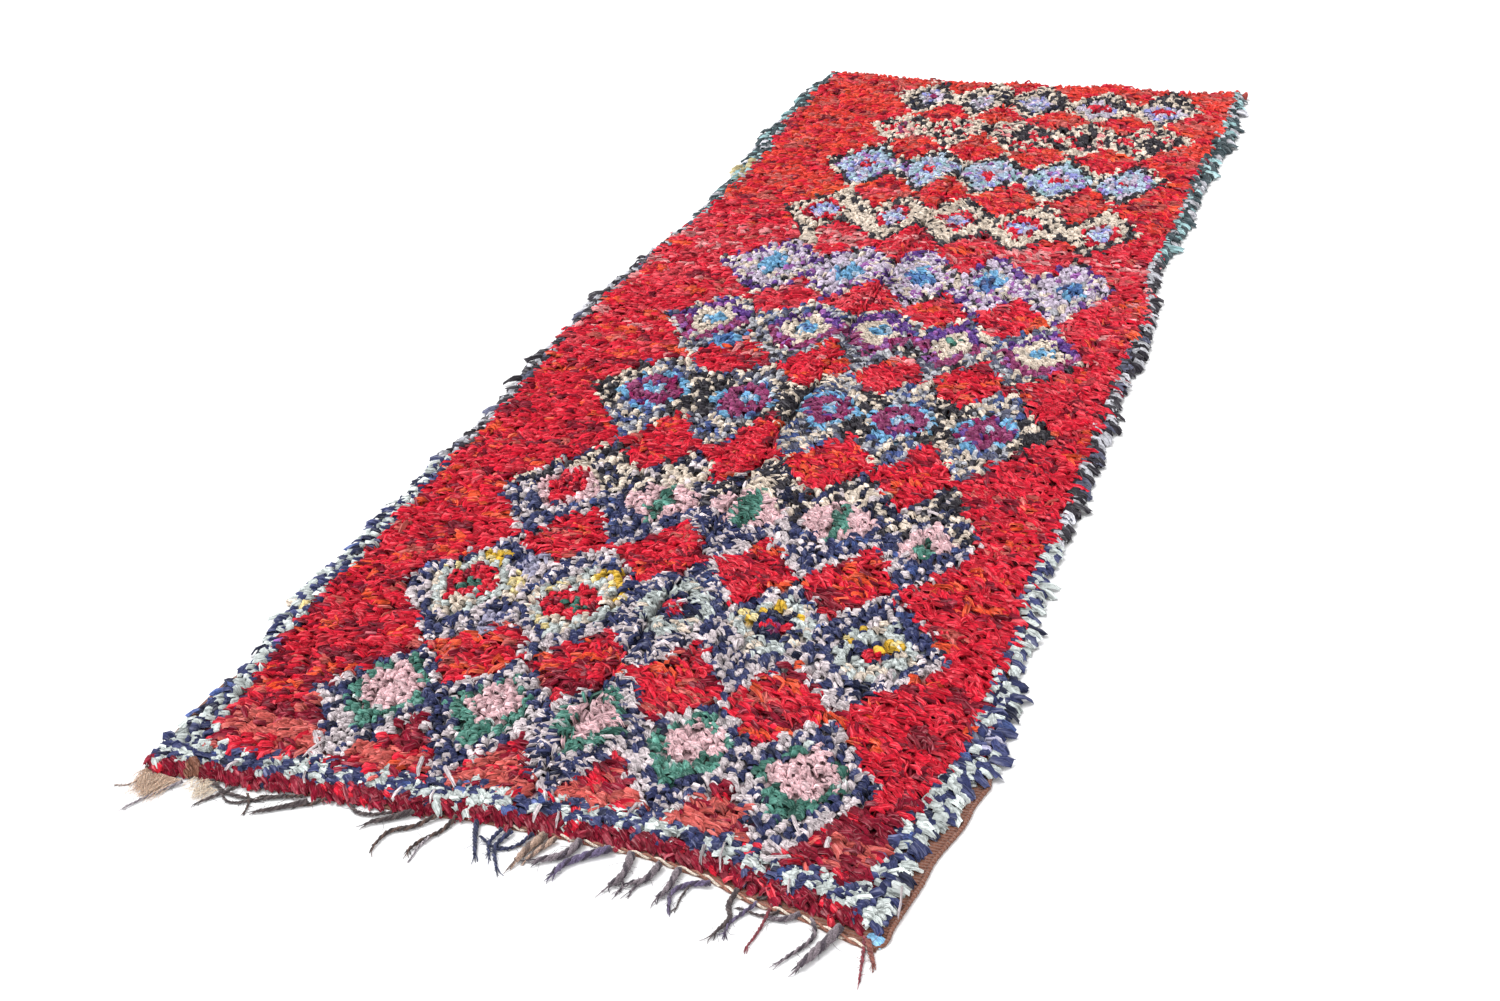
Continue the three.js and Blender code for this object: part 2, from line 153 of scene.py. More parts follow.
def new_material(name):
    """A material with only its Principled shader, and the handles to build on."""
    material = bpy.data.materials.new(name)
    material.use_nodes = True
    nodes = material.node_tree.nodes
    return material, nodes, material.node_tree.links, nodes["Principled BSDF"]


world = bpy.data.worlds.new("studio")
world.use_nodes = True
world.node_tree.nodes["Background"].inputs["Color"].default_value = (1, 1, 1, 1)
world.node_tree.nodes["Background"].inputs["Strength"].default_value = SKY_STRENGTH
bpy.context.scene.world = world
bpy.context.scene.view_settings.view_transform = "Standard"

sun = bpy.data.objects.new("sun", bpy.data.lights.new("sun", "SUN"))
sun.data.energy = SUN_STRENGTH
sun.data.angle = SUN_SPREAD
sun.rotation_euler = SUN_FROM.to_track_quat("Z", "Y").to_euler()
bpy.context.scene.collection.objects.link(sun)

floor_mesh = bpy.data.meshes.new("floor")
half_floor = FLOOR_SIZE / 2
floor_mesh.from_pydata(
    [(-half_floor, -half_floor, 0), (half_floor, -half_floor, 0),
     (half_floor, half_floor, 0), (-half_floor, half_floor, 0)],
    [], [(0, 1, 2, 3)],
)
floor = bpy.data.objects.new("floor", floor_mesh)
floor_paint, _, _, shader = new_material("floor_paint")
shader.inputs["Base Color"].default_value = FLOOR_COLOUR
shader.inputs["Roughness"].default_value = FLOOR_ROUGHNESS
floor.data.materials.append(floor_paint)
bpy.context.scene.collection.objects.link(floor)
print("studio ready")

# %% [markdown]
# The rags were many garments, so the palette is long. Each colour is named as a
# dyer would name it. The weaver mixed them, which the next table says: a mix is a
# list of colours, each with its share of the knots.

# %% Lay out the rags
PALETTE = {
    "crimson": (134, 8, 40), "cherry": (220, 24, 52), "brick": (204, 90, 84),
    "orange": (238, 84, 48), "vermilion": (236, 62, 50), "rose": (228, 66, 80),
    "blush": (236, 146, 148), "wine": (142, 20, 44),
    "navy": (54, 60, 102), "ink": (30, 34, 62), "denim": (68, 86, 142),
    "shell": (218, 204, 208), "mint": (198, 206, 204), "cream": (232, 214, 196),
    "teal": (84, 140, 126), "forest": (56, 104, 92), "pink": (234, 190, 196),
    "mustard": (226, 178, 52), "straw": (238, 216, 150), "lavender": (172, 168, 196),
    "soot": (50, 46, 54), "slate": (92, 94, 116), "ash": (186, 186, 194),
    "azure": (112, 170, 214), "ice": (182, 204, 226), "plum": (148, 60, 108),
    "magenta": (142, 18, 84), "purple": (92, 54, 134), "orchid": (160, 96, 170),
    "lilac": (210, 194, 216), "steel": (76, 116, 176), "periwinkle": (146, 148, 216),
    "aqua": (150, 188, 192), "pine": (58, 72, 78), "olive": (178, 164, 122),
    "brown": (142, 94, 76), "sky": (120, 174, 214),
}
MIXES = {
    "crimson": {"crimson": 1}, "red": {"cherry": 0.8, "crimson": 0.2},
    "navy and shell": {"navy": 0.46, "ink": 0.08, "shell": 0.46},
    "mostly shell": {"shell": 0.66, "navy": 0.3, "ink": 0.04},
    "mostly navy": {"navy": 0.66, "denim": 0.06, "shell": 0.28},
    "navy and mint": {"navy": 0.44, "ink": 0.06, "denim": 0.04, "mint": 0.46},
    "soot and cream": {"soot": 0.5, "ink": 0.08, "cream": 0.42},
    "night and cream": {"soot": 0.28, "ink": 0.2, "navy": 0.12, "cream": 0.28, "shell": 0.12},
    "mostly soot": {"soot": 0.74, "cream": 0.26},
    "slate and cream": {"slate": 0.26, "denim": 0.18, "soot": 0.08, "cream": 0.3, "ash": 0.18},
    "slate and ash": {"slate": 0.36, "soot": 0.2, "ash": 0.34, "cream": 0.1},
    "teal": {"teal": 0.74, "forest": 0.2, "mint": 0.06}, "green": {"forest": 0.5, "teal": 0.5},
    "pink": {"pink": 1}, "mint": {"mint": 0.8, "cream": 0.2},
    "mint and cream": {"mint": 0.55, "cream": 0.35, "straw": 0.1},
    "mustard": {"mustard": 0.85, "straw": 0.15}, "cream": {"cream": 1},
    "straw": {"straw": 0.6, "cream": 0.4}, "lavender": {"lavender": 0.8, "slate": 0.2},
    "ink": {"ink": 0.6, "navy": 0.4}, "cherry and shell": {"cherry": 0.68, "shell": 0.16, "plum": 0.16},
    "azure": {"azure": 0.8, "ice": 0.12, "steel": 0.08}, "azure and ice": {"azure": 0.5, "ice": 0.5},
    "plum": {"plum": 0.86, "magenta": 0.08, "purple": 0.06}, "magenta": {"magenta": 1},
    "purple": {"purple": 0.84, "orchid": 0.16}, "orchid": {"orchid": 0.6, "purple": 0.4},
    "plum and orchid": {"plum": 0.72, "orchid": 0.16, "magenta": 0.06, "ash": 0.06},
    "lilac": {"lilac": 0.66, "cream": 0.14, "orchid": 0.12, "ash": 0.08},
    "violet and lilac": {"purple": 0.34, "soot": 0.16, "lilac": 0.36, "cream": 0.14},
    "steel": {"steel": 0.7, "azure": 0.18, "navy": 0.12},
    "periwinkle": {"periwinkle": 0.42, "lilac": 0.3, "ice": 0.28},
    "soot": {"soot": 0.86, "cream": 0.14},
    "thin soot": {"soot": 0.62, "cream": 0.38}, "thin cream": {"cream": 0.84, "soot": 0.16},
    "pale blue": {"ice": 0.48, "lilac": 0.18, "aqua": 0.12, "periwinkle": 0.12, "orchid": 0.1},
    "cream and red": {"cream": 0.5, "cherry": 0.24, "soot": 0.14, "blush": 0.12},
    "lilac and ash": {"lilac": 0.5, "ash": 0.3, "periwinkle": 0.2},
    "soot and ash": {"soot": 0.54, "slate": 0.12, "ash": 0.34},
    "pine and aqua": {"pine": 0.58, "aqua": 0.28, "ash": 0.14},
    "olive": {"olive": 0.5, "ash": 0.25, "aqua": 0.25},
}
NAMES = list(PALETTE)
ALMOST_ONE = 0.9999
SCATTER = {"first": 127.1, "second": 311.7, "seed": 74.7, "gain": 43758.5453}
rng = np.random.default_rng(20)


def linear(colour):
    """A colour written as 0 to 255, as the linear light that a shader wants."""
    share = np.asarray(colour, float) / 255
    return np.where(share <= 0.04045, share / 12.92, ((share + 0.055) / 1.055) ** 2.4)


def chance(a, b, seed):
    """A repeatable number from 0 to 1 for each pair of whole numbers."""
    wave = np.sin(a * SCATTER["first"] + b * SCATTER["second"] + seed * SCATTER["seed"]) * SCATTER["gain"]
    return wave - np.floor(wave)


def draw(mix, lot):
    """The palette numbers that the lots, from 0 to 1, draw from a mix."""
    shares = np.cumsum(list(MIXES[mix].values()))
    picked = np.searchsorted(shares / shares[-1], np.clip(lot, 0, ALMOST_ONE), "right")
    return np.array([NAMES.index(name) for name in MIXES[mix]])[picked]


def alternate(turn):
    """Lots in the lower and the upper half in turn, as two rags fall in a chequer."""
    return (rng.random(len(turn)) + np.mod(turn, 2)) / 2


print(len(PALETTE), "rags in", len(MIXES), "mixes")

# %% [markdown]
# The pattern is the old diamond lattice: ten rows of five medallions, each row
# joined to the next at its points, with red diamonds left between. It is charted
# row by row. Each row has its two end corners, the peaks and notches of its upper
# edge, the toes and notches of its lower edge, and its five medallions, given as
# across, along, half across and half along. A ring says how much wider and longer
# than its medallion it is, how far it is shifted along, its mix, its part and the
# medallions that have it. Lines run inward from the lattice's edge to a depth.

# %% Chart the diamond lattice
ALL = (0, 1, 2, 3, 4)
DEEP = 99
LATTICE = (
    {
        "corners": ((131, 255), (1082, 273)),
        "peaks": ((250, 400), (428, 406), (611, 416), (771, 407), (948, 411)),
        "notches": ((334, 313), (527, 313), (690, 317), (866, 317)),
        "toes": ((241, 90), (425, 100), (606, 100), (780, 100), (960, 90)),
        "clefts": ((342, 238), (514, 242), (677, 256), (857, 225)),
        "above": ((12, "mostly shell"), (DEEP, "navy and shell")),
        "below": ((16, "mostly shell"), (DEEP, "navy and shell")),
        "medallions": ((250, 288, 58, 60), (433, 291, 50, 54), (602, 300, 38, 54),
                       (769, 295, 52, 54), (958, 272, 58, 54)),
        "rings": ((15, 30, -12, "teal", "all", ALL), (0, 0, 0, "pink", "all", ALL)),
    },
    {
        "corners": ((109, 565), (1082, 573)),
        "peaks": ((246, 728), (426, 732), (618, 732), (778, 728), (950, 732)),
        "notches": ((320, 654), (527, 646), (690, 637), (866, 632)),
        "toes": ((241, 396), (428, 402), (611, 412), (771, 402), (948, 406)),
        "clefts": ((350, 496), (532, 518), (690, 518), (857, 514)),
        "above": ((10, "mostly shell"), (DEEP, "mostly navy")),
        "below": ((14, "mostly shell"), (DEEP, "navy and shell")),
        "medallions": ((232, 573, 54, 50), (430, 570, 60, 50), (612, 590, 18, 24),
                       (787, 594, 27, 27), (958, 573, 25, 20)),
        "rings": (
            (22, 44, 0, "mint and cream", "all", (0, 1)),
            (46, 56, 0, "mint", "all", (2, 3, 4)),
            (22, 18, 0, "ink", "all", (2, 3, 4)), (0, 0, 0, "red", "all", (0, 1)),
            (0, 0, 0, "cherry and shell", "all", (2, 3, 4)), (-32, -30, -4, "green", "all", (0, 1)),
        ),
    },
    {
        "corners": ((127, 871), (1048, 880)),
        "peaks": ((272, 1078), (452, 1078), (615, 1078), (796, 1078), (945, 1078)),
        "notches": ((356, 977), (532, 968), (694, 968), (868, 964)),
        "toes": ((246, 724), (426, 728), (618, 728), (778, 724), (956, 726)),
        "clefts": ((342, 849), (523, 845), (686, 836), (879, 849)),
        "above": ((DEEP, "night and cream"),),
        "below": ((14, "mostly shell"), (DEEP, "mostly navy")),
        "medallions": ((256, 896, 34, 66), (448, 890, 19, 70), (617, 900, 23, 64),
                       (784, 906, 18, 68), (954, 856, 18, 34)),
        "rings": (
            (8, 58, 0, "cream", "top", ALL), (32, 4, 0, "pink", "all", (0,)),
            (56, -6, 0, "pink", "all", (1, 2, 3)), (30, 26, 22, "pink", "all", (4,)),
            (0, 0, 0, "red", "all", (0,)), (0, 0, 0, "green", "all", (1, 2, 3, 4)),
        ),
    },
    {
        "corners": ((114, 1278), (1086, 1275)),
        "peaks": ((268, 1422), (461, 1422), (628, 1422), (787, 1422), (954, 1422)),
        "notches": ((351, 1346), (549, 1337), (708, 1346), (870, 1328)),
        "toes": ((276, 1072), (456, 1072), (615, 1072), (796, 1072), (945, 1072)),
        "clefts": ((351, 1196), (540, 1236), (708, 1200), (866, 1205)),
        "above": ((DEEP, "slate and cream"),),
        "below": ((DEEP, "slate and cream"),),
        "flank": "mostly soot",
        "medallions": ((262, 1276, 28, 25), (460, 1278, 21, 30), (633, 1278, 18, 20),
                       (783, 1272, 24, 20), (950, 1266, 18, 20)),
        "rings": (
            (50, 52, -8, "azure", "all", ALL), (37, 40, -8, "plum", "all", ALL),
            (0, 0, 0, "azure and ice", "all", ALL),
        ),
    },
    {
        "corners": ((140, 1590), (1073, 1572)),
        "peaks": ((264, 1706), (457, 1704), (638, 1704), (791, 1704), (967, 1706)),
        "notches": ((356, 1636), (558, 1649), (716, 1627), (879, 1622)),
        "toes": ((262, 1416), (463, 1416), (630, 1416), (787, 1416), (956, 1416)),
        "clefts": ((351, 1543), (554, 1539), (716, 1526), (875, 1526)),
        "above": ((DEEP, "slate and cream"),),
        "below": ((DEEP, "slate and ash"),),
        "medallions": ((256, 1592, 29, 25), (471, 1587, 32, 24), (630, 1598, 23, 22),
                       (790, 1583, 16, 20), (974, 1580, 28, 28)),
        "rings": (
            (58, 76, -10, "purple", "top", ALL), (56, 74, -10, "plum and orchid", "bottom", ALL),
            (26, 40, -4, "cream", "all", ALL), (0, 0, 0, "azure", "all", (0, 1, 2, 4)),
            (0, 0, 0, "green", "all", (3,)),
        ),
    },
    {
        "corners": ((149, 1866), (1064, 1880)),
        "peaks": ((286, 2010), (474, 2012), (622, 2016), (787, 2012), (950, 2012)),
        "notches": ((378, 1910), (554, 1919), (716, 1897), (875, 1902)),
        "toes": ((298, 1704), (456, 1706), (640, 1706), (794, 1706), (972, 1704)),
        "clefts": ((378, 1814), (558, 1822), (716, 1800), (870, 1809)),
        "above": ((26, "violet and lilac"), (DEEP, "lilac")),
        "below": ((26, "violet and lilac"), (DEEP, "lilac")),
        "medallions": ((281, 1873, 36, 55), (470, 1853, 40, 52), (637, 1865, 36, 42),
                       (787, 1873, 40, 45), (967, 1856, 31, 46)),
        "rings": (
            (0, 0, 0, "azure", "all", (0, 1)), (0, 0, 0, "steel", "all", (2, 3, 4)),
            (0, 0, 0, "azure", "top", (2, 3)),
        ),
    },
    {
        "corners": ((193, 2172), (1055, 2163)),
        "peaks": ((312, 2300), (476, 2296), (621, 2298), (800, 2296), (963, 2298)),
        "notches": ((400, 2211), (554, 2202), (716, 2194), (888, 2194)),
        "toes": ((292, 2010), (474, 2018), (622, 2018), (785, 2018), (953, 2018)),
        "clefts": ((360, 2128), (554, 2114), (708, 2114), (884, 2114)),
        "above": ((15, "thin soot"), (DEEP, "thin cream")),
        "below": ((15, "soot"), (DEEP, "thin cream")),
        "medallions": ((297, 2170, 36, 46), (470, 2165, 31, 46), (631, 2163, 33, 38),
                       (789, 2158, 38, 40), (965, 2154, 33, 44)),
        "rings": ((13, 16, 0, "red", "all", ALL), (0, 0, 0, "periwinkle", "all", ALL)),
    },
    {
        "corners": ((193, 2473), (1064, 2460)),
        "peaks": ((312, 2592), (473, 2588), (642, 2580), (802, 2580), (967, 2580)),
        "notches": ((395, 2495), (562, 2482), (716, 2477), (888, 2473)),
        "toes": ((314, 2296), (478, 2296), (622, 2298), (798, 2296), (963, 2298)),
        "clefts": ((391, 2411), (549, 2407), (703, 2394), (884, 2402)),
        "above": ((8, "thin cream"), (22, "soot"), (DEEP, "pale blue")),
        "below": ((8, "thin cream"), (22, "soot"), (DEEP, "pale blue")),
        "medallions": ((309, 2455, 20, 30), (476, 2453, 15, 20), (631, 2439, 24, 24),
                       (800, 2439, 22, 29), (958, 2431, 13, 16)),
        "rings": ((14, 20, 0, "periwinkle", "all", ALL), (0, 0, 0, "red", "all", ALL)),
    },
    {
        "corners": ((224, 2716), (1073, 2716)),
        "peaks": ((318, 2808), (479, 2806), (620, 2806), (804, 2808), (970, 2806)),
        "notches": ((391, 2742), (549, 2729), (708, 2742), (879, 2742)),
        "toes": ((318, 2590), (472, 2584), (642, 2576), (800, 2576), (967, 2576)),
        "clefts": ((395, 2663), (554, 2676), (725, 2654), (875, 2645)),
        "above": ((9, "thin cream"), (24, "thin soot"), (DEEP, "cream and red")),
        "below": ((9, "thin cream"), (24, "thin soot"), (DEEP, "cream and red")),
        "medallions": ((328, 2700, 12, 34), (479, 2694, 18, 26), (640, 2707, 29, 44),
                       (804, 2696, 26, 50), (967, 2689, 35, 53)),
        "rings": ((0, 0, 0, "plum", "all", (0,)), (0, 0, 0, "soot", "all", (1, 2, 3, 4)),),
    },
    {
        "corners": ((232, 2934), (1064, 2921)),
        "peaks": ((329, 3048), (488, 3066), (628, 3066), (800, 3040), (958, 3080)),
        "notches": ((400, 2956), (567, 2956), (721, 2934), (879, 2956)),
        "toes": ((318, 2796), (479, 2796), (620, 2796), (804, 2796), (968, 2796)),
        "clefts": ((408, 2886), (554, 2894), (708, 2886), (888, 2877)),
        "above": ((10, "thin cream"), (DEEP, "soot and cream")),
        "below": ((10, "thin cream"), (DEEP, "soot and cream")),
        "medallions": ((330, 2945, 11, 30), (481, 2921, 9, 18), (628, 2923, 18, 30),
                       (793, 2908, 32, 30), (958, 2915, 31, 24)),
        "rings": (
            (26, 30, -14, "lilac and ash", "all", ALL), (0, 0, 0, "magenta", "all", (0,)),
            (0, 0, 0, "red", "all", (1, 3, 4)), (0, 0, 0, "periwinkle", "all", (2,)),
        ),
    },
)
print(len(LATTICE), "rows of", len(LATTICE[0]["medallions"]), "medallions")

# %% [markdown]
# The red field isn't one red. The weaver took whatever was at hand, so its tone
# drifts from crimson and brick at the near end to vermilion at the far end, with a
# faded stretch between. The table gives the share of each red along the rug. A few
# odd patches, and the colours of the two side borders, are listed the same way.

# %% Chart the field, the patches and the borders
FIELD = {
    "along": (60, 95, 135, 170, 200, 330, 700, 1250, 1500, 1800, 1960, 2100, 2240, 3080),
    "crimson": (0.6, 0.6, 0.22, 0.46, 0.66, 0.24, 0.14, 0.1, 0.1, 0.06, 0.04, 0.08, 0.08, 0.03),
    "cherry": (0.2, 0.3, 0.14, 0.16, 0.28, 0.62, 0.72, 0.74, 0.6, 0.5, 0.34, 0.6, 0.36, 0.2),
    "wine": (0.02, 0, 0, 0.04, 0.04, 0.02, 0.03, 0.02, 0.01, 0, 0, 0, 0, 0),
    "brick": (0.18, 0.1, 0.62, 0.24, 0.03, 0.03, 0.02, 0.02, 0.02, 0.02, 0.02, 0.04, 0.16, 0.24),
    "orange": (0, 0, 0.02, 0.02, 0.03, 0.09, 0.09, 0.1, 0.08, 0.04, 0.02, 0.04, 0.05, 0.03),
    "rose": (0, 0, 0, 0, 0, 0, 0, 0.02, 0.16, 0.32, 0.42, 0.2, 0.04, 0.03),
    "blush": (0, 0, 0, 0, 0, 0, 0, 0, 0.03, 0.06, 0.18, 0.03, 0, 0),
    "vermilion": (0, 0, 0, 0, 0, 0, 0, 0, 0, 0, 0, 0.01, 0.31, 0.47),
}
PATCHES = (
    {"across": 313, "along": 646, "half": (16, 32), "mix": "lavender"},
    {"across": 320, "along": 478, "half": (15, 32), "mix": "lavender"},
    {"across": 312, "along": 584, "half": (14, 40), "mix": "straw"},
    {"across": 237, "along": 656, "half": (17, 11), "mix": "mustard"},
    {"across": 451, "along": 652, "half": (20, 8), "mix": "mustard"},
    {"across": 484, "along": 632, "half": (14, 14), "mix": "mustard"},
    {"across": 505, "along": 602, "half": (11, 16), "mix": "mustard"},
    {"across": 757, "along": 630, "half": (13, 9), "mix": "mustard"},
    {"across": 782, "along": 650, "half": (18, 9), "mix": "mustard"},
    {"across": 814, "along": 632, "half": (12, 8), "mix": "mustard"},
    {"across": 734, "along": 604, "half": (11, 12), "mix": "mustard"},
    {"across": 941, "along": 624, "half": (14, 8), "mix": "mustard"},
    {"across": 914, "along": 593, "half": (8, 9), "mix": "mustard"},
    {"across": 980, "along": 594, "half": (20, 9), "mix": "mustard"},
    {"across": 289, "along": 1297, "half": (14, 22), "mix": "magenta"},
    {"across": 320, "along": 1500, "half": (30, 26), "mix": "steel"},
    {"across": 70, "along": 1316, "half": (66, 7), "mix": "orange"},
    {"across": 316, "along": 2020, "half": (22, 34), "mix": "cream"},
    {"across": 318, "along": 2300, "half": (16, 40), "mix": "cream"},
    {"across": 400, "along": 2290, "half": (34, 14), "mix": "faded"},
    {"across": 395, "along": 2015, "half": (36, 26), "mix": "faded"},
    {"across": 835, "along": 2020, "half": (50, 20), "mix": "faded"},
    {"across": 115, "along": 1512, "half": (34, 10), "mix": "faded"},
    {"across": 130, "along": 1930, "half": (60, 14), "mix": "faded"},
)
MIXES["orange"] = {"orange": 1}
MIXES["roll"] = {"crimson": 0.9, "cherry": 0.1}
MIXES["faded"] = {"blush": 0.6, "rose": 0.4}

INNER_SIDES = {
    "along": (70, 110, 200, 300, 400, 500, 700, 800, 1050, 1200, 1350, 1450, 1600, 1750, 1850,
              1950, 2040, 2200, 2300, 2500, 2600, 2700, 2800, 2850, 2950, 3060),
    "left": (52, 48, 39, 21, 12, 10, 12, 5, 2, 4, -8, -16, -8, -5, 0,
             12, 30, 34, 44, 40, 26, 12, 28, 21, 8, 32),
    "right": (1100, 1100, 1104, 1130, 1148, 1152, 1150, 1136, 1143, 1140, 1130, 1134, 1126,
              1130, 1126, 1096, 1099, 1103, 1104, 1096, 1100, 1104, 1108, 1112, 1108, 1100),
}
BORDERS = (
    {"upto": 950, "mix": "navy and mint"},
    {"upto": 2050, "mix": "soot and ash"},
    {"upto": 4000, "mix": "pine and aqua"},
)
print("the field is charted in", len(FIELD) - 1, "reds")

# %% [markdown]
# A knot's colour is looked up from its place. Its place is first moved a few
# millimetres, as a weaver's count slips now and then, so edges come out stepped
# and lively. Neighbouring knots often share one strip of rag, so most of the
# draws are made once for a small run of knots instead of once for each.

# %% Look up the colour of each knot
SLIP = 3
RUN_SHARE = 0.72
FLAT_EDGE = 0.62
CORNER = 1.25
FIELD_RUN = (70, 14)
CHUNK = {"across": 17, "along": 16, "slow": 60, "wander": 0.35, "step": 0.8, "odd": 0.25}
HALFWAY = 0.12
FLANK = {"off": 48, "half": 85}


def in_runs(across, along, run, seed):
    """One lot for each knot, mostly shared along a short run of one row."""
    band = np.floor(along / run[1])
    shift = chance(band, 3, seed) * run[0]
    shared = chance(np.floor((across + shift) / run[0]), band, seed)
    return np.where(rng.random(len(across)) < RUN_SHARE, shared, rng.random(len(across)))


def chequered(across, along):
    """Lots for two rags knotted in turn, with some knots out of turn."""
    slow = chance(np.floor(across / CHUNK["slow"]), 5, 2)
    band = np.floor(along / CHUNK["along"] + CHUNK["wander"] * slow)
    turn = np.floor(across / CHUNK["across"] + CHUNK["step"] * chance(band, 9, 4)) + band
    lot = alternate(turn)
    return np.where(rng.random(len(across)) < CHUNK["odd"], rng.random(len(across)), lot)


def field_colours(across, along):
    """The reds of the field, drawn by their share at each place along."""
    reds = [name for name in FIELD if name != "along"]
    shares = np.stack([np.interp(along, FIELD["along"], FIELD[name]) for name in reds])
    steps = np.cumsum(shares, axis=0) / shares.sum(axis=0)
    picked = (in_runs(across, along, FIELD_RUN, 7) > steps[:-1]).sum(axis=0)
    return np.array([NAMES.index(name) for name in reds])[picked]


def edges(row, across):
    """The lattice row's upper and lower edge at places across."""
    def zigzag(points, dips):
        inner = [point for pair in zip(points, (*dips, points[-1])) for point in pair][:-1]
        line = np.array([row["corners"][0], *inner, row["corners"][1]])
        return np.interp(across, line[:, 0], line[:, 1])
    return zigzag(row["peaks"], row["notches"]), zigzag(row["toes"], row["clefts"])


def from_lines(lines, depth, lot, colours):
    """Paints the lines that follow the lattice's edge, the innermost first."""
    for width, mix in reversed(lines):
        inside = depth < width
        colours = np.where(inside, draw(mix, lot), colours)
    return colours


def ring_mask(ring, medallion, across, along):
    """Where one ring of one medallion lies: a diamond with soft corners."""
    wider, longer, shift, _, part, _ = ring
    middle, centre, half_across, half_along = medallion
    dx = (across - middle) / (half_across + wider)
    dy = (along - centre - shift) / (half_along + longer)
    inside = np.abs(dx) ** CORNER + np.abs(dy) ** CORNER < 1
    if part == "top":
        return inside & (dy > HALFWAY)
    if part == "bottom":
        return inside & (dy < HALFWAY)
    return inside


def row_colours(row, across, along, lot, colours):
    """Paints one lattice row over the field: its lines, then its rings."""
    upper, lower = edges(row, across)
    left, right = row["corners"][0][0], row["corners"][1][0]
    inside = (along < upper) & (along > lower) & (across > left) & (across < right)
    depth = np.minimum(upper - along, along - lower) * FLAT_EDGE
    centre = np.mean([m[1] for m in row["medallions"]])
    lined = np.where(
        along > centre,
        from_lines(row["above"], depth, lot, colours),
        from_lines(row["below"], depth, lot, colours),
    )
    deep = row["above"][-1][1], row["below"][-1][1]
    lined = np.where(depth >= DEEP, np.where(along > centre, draw(deep[0], lot), draw(deep[1], lot)), lined)
    if "flank" in row:
        middles = np.array([m[0] for m in row["medallions"]])
        off = np.abs(across[:, None] - middles).min(axis=1)
        flank = (off > FLANK["off"]) & (np.abs(along - centre) < FLANK["half"])
        lined = np.where(flank, draw(row["flank"], lot), lined)
    colours = np.where(inside, lined, colours)
    for ring in row["rings"]:
        for number in ring[5]:
            hit = inside & ring_mask(ring, row["medallions"][number], across, along)
            colours = np.where(hit, draw(ring[3], lot), colours)
    return colours, inside


def pattern(across, along):
    """The palette number of each knot, and whether it belongs to the lattice."""
    across = across + rng.normal(0, SLIP, len(across))
    along = along + rng.normal(0, SLIP, len(along))
    colours = field_colours(across, along)
    lot = chequered(across, along)
    lattice = np.zeros(len(across), bool)
    for row in LATTICE:
        colours, inside = row_colours(row, across, along, lot, colours)
        lattice |= inside
    for patch in PATCHES:
        near = np.abs(across - patch["across"]) < patch["half"][0]
        near &= np.abs(along - patch["along"]) < patch["half"][1]
        colours = np.where(near, draw(patch["mix"], rng.random(len(across))), colours)
    return colours, lattice


trial = pattern(np.linspace(100, 1000, 50), np.full(50, 285.0))[1]
print("share of the first row that is lattice:", trial.mean())

# %% [markdown]
# One lock is the loose end of a rag strip: pinched where it leaves the knot, it
# rises, lies over on its neighbours like a shingle, and ends in a ragged cut.
# Cloth simulation of forty thousand of them would take hours, so a lock is a small
# grid of points bent by formulas: four stations along by four points across. Jersey
# curls as it is cut, so both long edges droop, and folds run the length. At the rim
# of the rug a lock hangs over instead, which `fall` blends in.

# %% Shape the locks
STATIONS = np.array([0.0, 0.3, 0.7, 1.0])
FORWARD = np.array([0.0, 0.2, 0.7, 1.0])
SHINGLE = np.array([0.0, 0.9, 1.0, 0.34])
OVERHANG = np.array([0.0, 1.0, 0.76, 0.2])
WIDTH = np.array([0.5, 0.95, 1.0, 0.0])
TIP_WIDTH = (0.4, 0.95)
ACROSS = np.array([-1.0, -0.4, 0.36, 1.0])
RIDGE = np.array([-0.5, 0.9, -0.8, 0.5])
LOWEST = 1.2
DROOP = (3.0, 7.0)
LEAN = {"ways": (-0.7, 1.0), "strength": (0.3, 1.0)}
NOISE = {"fold": 0.5, "curl": 0.25, "swerve": 0.13, "side": 0.7, "lift": 0.1}
RAGGED = (-0.16, 0.1)
FLAT_ROOT = {"gain": 3, "least": 0.15}
STEPS, WIDE = len(STATIONS), len(ACROSS)
LOCK_POINTS = STEPS * WIDE
LOCK_KEYS = ("across", "along", "heading", "length", "half", "height", "foot", "fall", "fold", "colour")


def lock_faces():
    """The triangles of one lock."""
    faces = []
    for s in range(STEPS - 1):
        for a in range(WIDE - 1):
            p = s * WIDE + a
            faces += [(p, p + 1, p + WIDE + 1), (p, p + WIDE + 1, p + WIDE)]
    return np.array(faces)


LOCK_FACES = lock_faces()


def lock_folds(locks):
    """How far each point of each lock stands out of its even surface."""
    count = len(locks["across"])
    one = (count, 1, 1)
    lean = rng.choice(LEAN["ways"], one) * rng.uniform(*LEAN["strength"], one)
    folds = lean * RIDGE[None, None, :] + rng.normal(0, NOISE["fold"], (count, STEPS, WIDE))
    folds *= locks["fold"][:, None, None]
    droop = rng.uniform(*DROOP, one) * ACROSS[None, None, :] ** 2
    curl = rng.normal(0, NOISE["curl"], one) * ACROSS[None, None, :] * locks["half"][:, None, None]
    free = np.minimum(1, STATIONS[None, :, None] * FLAT_ROOT["gain"] + FLAT_ROOT["least"])
    return (folds - droop + curl) * free


